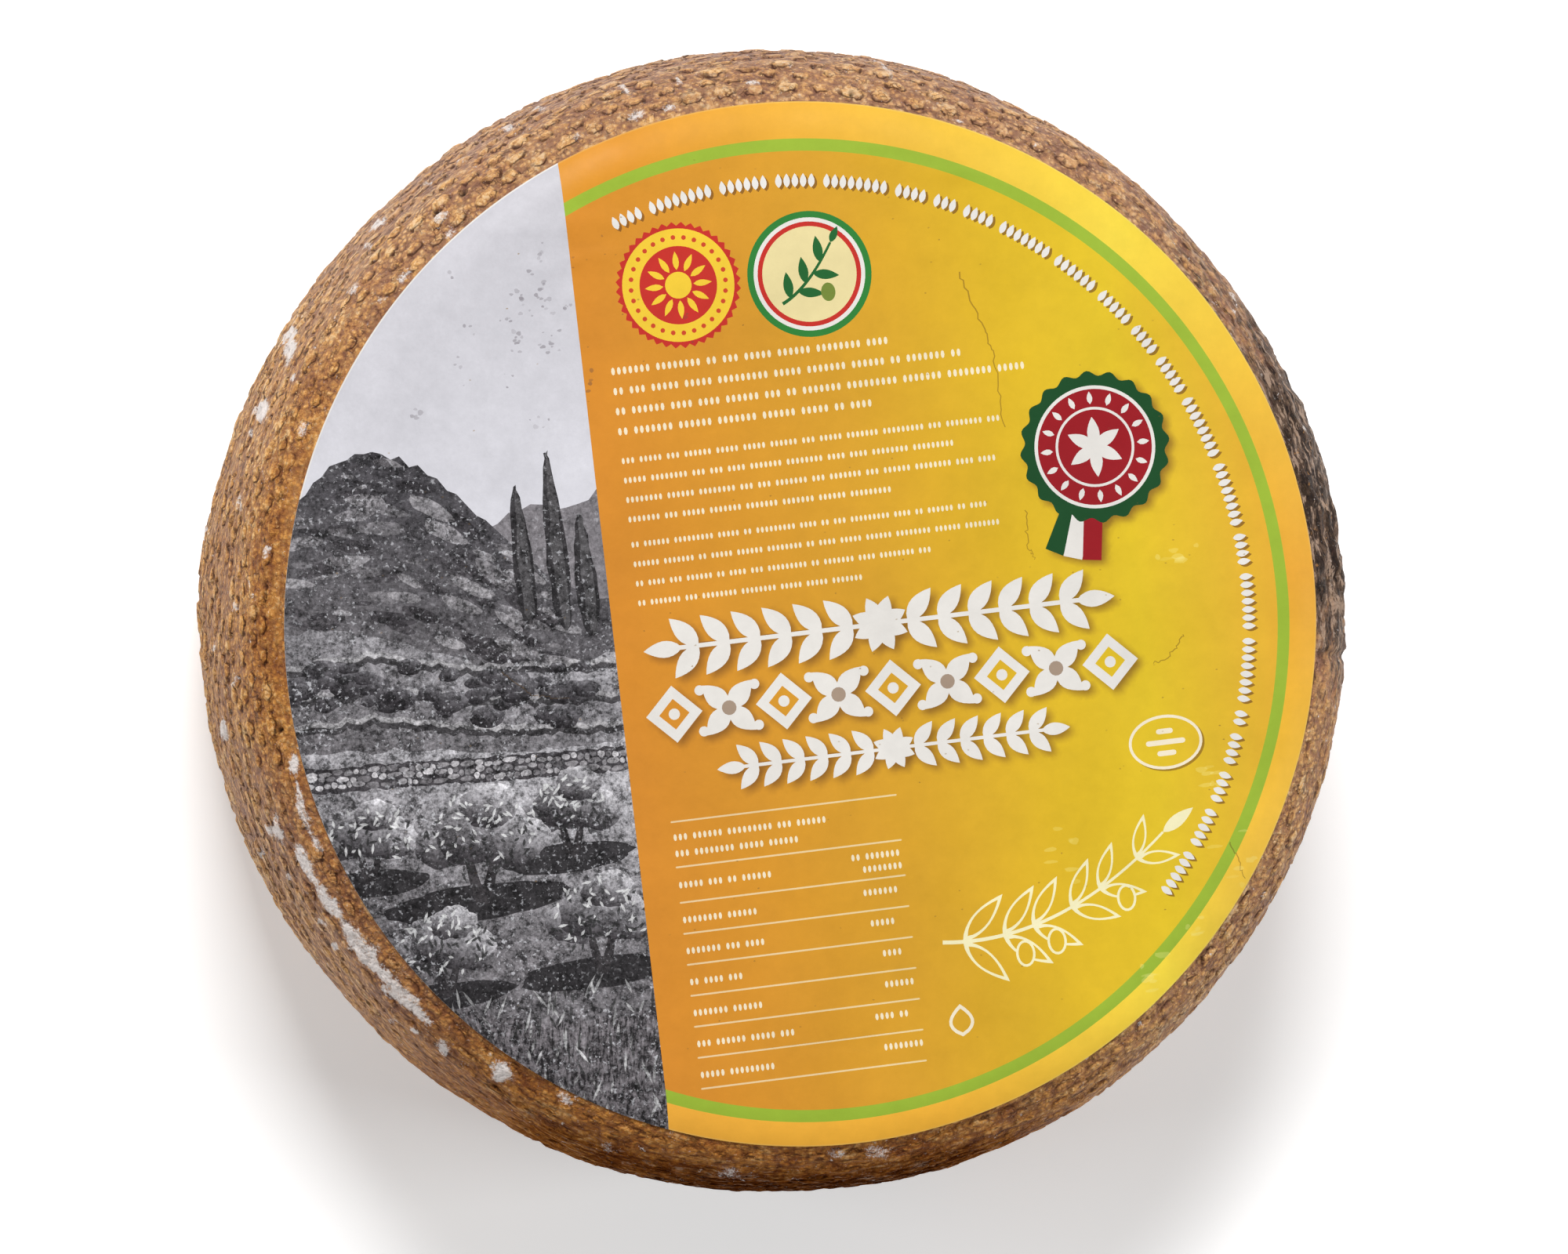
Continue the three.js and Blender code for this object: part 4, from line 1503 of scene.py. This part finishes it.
def make_label():
    sheet = draw_print()
    spots, top, members = cut_sheet(sheet)
    shade, grain = lay_inks(sheet, turned(spots, -PRINT_TURN), top, members)
    used, top = np.unique(top, return_inverse=True)
    spots, top = spots[used], top.reshape(-1, 3)

    rim = np.where(np.hypot(*spots.T) > LABEL_RADIUS - 0.03)[0]
    rim_turns = np.arctan2(spots[rim, 1], spots[rim, 0]) % FULL_TURN
    order = np.argsort(rim_turns)
    rim = rim[order]
    lower, under = underside(rim_turns[order])
    foot = len(spots) + np.arange(len(rim))
    next_rim, next_foot = np.roll(rim, -1), np.roll(foot, -1)
    wall = np.column_stack([rim, foot, next_foot, rim, next_foot, next_rim]).reshape(-1, 3)
    upper = np.column_stack([spots, paper_height(spots)])
    faces = np.vstack([top, wall, under + len(spots)])
    made = new_mesh("label", np.vstack([upper, lower]), faces)

    tones = np.ones((len(faces), 3, 4))
    tones[..., :3] = BARE_PAPER
    tones[: len(top), :, :3] = shade
    tones[..., :3] = linear(tones[..., :3]) * INK_DEPTH
    store(made.data, "ink", tones, "FLOAT_COLOR", "CORNER", "color")
    store(made.data, "grain", np.append(grain, np.zeros(len(faces) - len(top))), domain="FACE")
    normals = np.zeros((3 * len(faces), 3))
    normals[: top.size] = paper_normals(spots)[top].reshape(-1, 3)
    made.data.normals_split_custom_set(normals.tolist())
    made.data.materials.append(paper_material())
    return made


# ---------------------------------------------------------------- studio

CAMERA_DISTANCE = 1.6
CAMERA_TILT = math.radians(9.21)  # off the wheel's axis
CAMERA_TURN = math.radians(4.1)  # of that tilt, from -X towards +Y
CAMERA_LENS = 208.8
AIM = Vector((2.78, -0.93, 41.0)) * MM
FLOOR_HALF = 4.0
LIT_POINT = Vector((0, 0, 0.05))
# Area lights, as name, place, width, height and power in watts
LIGHTS = [
    ("key", (-0.3, 1.5, 2.1), 0.8, 0.6, 56),
    ("right", (2.1, -0.3, 1.3), 0.9, 0.9, 23),
    ("left", (-2.1, 0.0, 1.3), 0.9, 0.9, 15),
]


def make_camera():
    side, rise = math.sin(CAMERA_TILT), math.cos(CAMERA_TILT)
    back = Vector((-side * math.cos(CAMERA_TURN), side * math.sin(CAMERA_TURN), rise))
    up = Vector((0, 1, 0))
    up = (up - up.dot(back) * back).normalized()
    data = bpy.data.cameras.new("camera")
    data.lens = CAMERA_LENS
    data.sensor_width = 36
    data.sensor_fit = "HORIZONTAL"
    data.clip_end = 20
    camera = put_in_scene("camera", data)
    camera.matrix_world = Matrix((up.cross(back), up, back)).transposed().to_4x4()
    camera.location = AIM + CAMERA_DISTANCE * back
    bpy.context.scene.camera = camera


def make_lights():
    for name, place, width, height, power in LIGHTS:
        data = bpy.data.lights.new(name, "AREA")
        data.shape = "RECTANGLE"
        data.size = width
        data.size_y = height
        data.energy = power
        light = put_in_scene(name, data)
        light.location = place
        light.rotation_mode = "QUATERNION"
        light.rotation_quaternion = (LIT_POINT - Vector(place)).to_track_quat("-Z", "Y")
    world = bpy.data.worlds.new("studio")
    world.use_nodes = True
    background = world.node_tree.nodes["Background"]
    background.inputs["Color"].default_value = (1, 1, 1, 1)
    background.inputs["Strength"].default_value = 0.12
    bpy.context.scene.world = world
    bpy.context.scene.view_settings.view_transform = "Standard"


def make_floor():
    half = FLOOR_HALF
    mesh = bpy.data.meshes.new("floor")
    corners = [(-half, -half, 0), (half, -half, 0), (half, half, 0), (-half, half, 0)]
    mesh.from_pydata(corners, [], [(0, 1, 2, 3)])
    surface = {
        "Base Color": (0.93, 0.93, 0.93, 1),
        "Roughness": 0.9,
        "Emission Color": (1, 1, 1, 1),
        "Emission Strength": 0.3,
    }
    mesh.materials.append(Shade("floor").finish(surface))
    put_in_scene("floor", mesh)


make_camera()
make_lights()
make_floor()

rind = make_rind()
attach(rind, "root")
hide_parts("cheese_wheel")

label = make_label()
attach(label, "root")
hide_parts("paper_label")

bpy.context.view_layer.update()
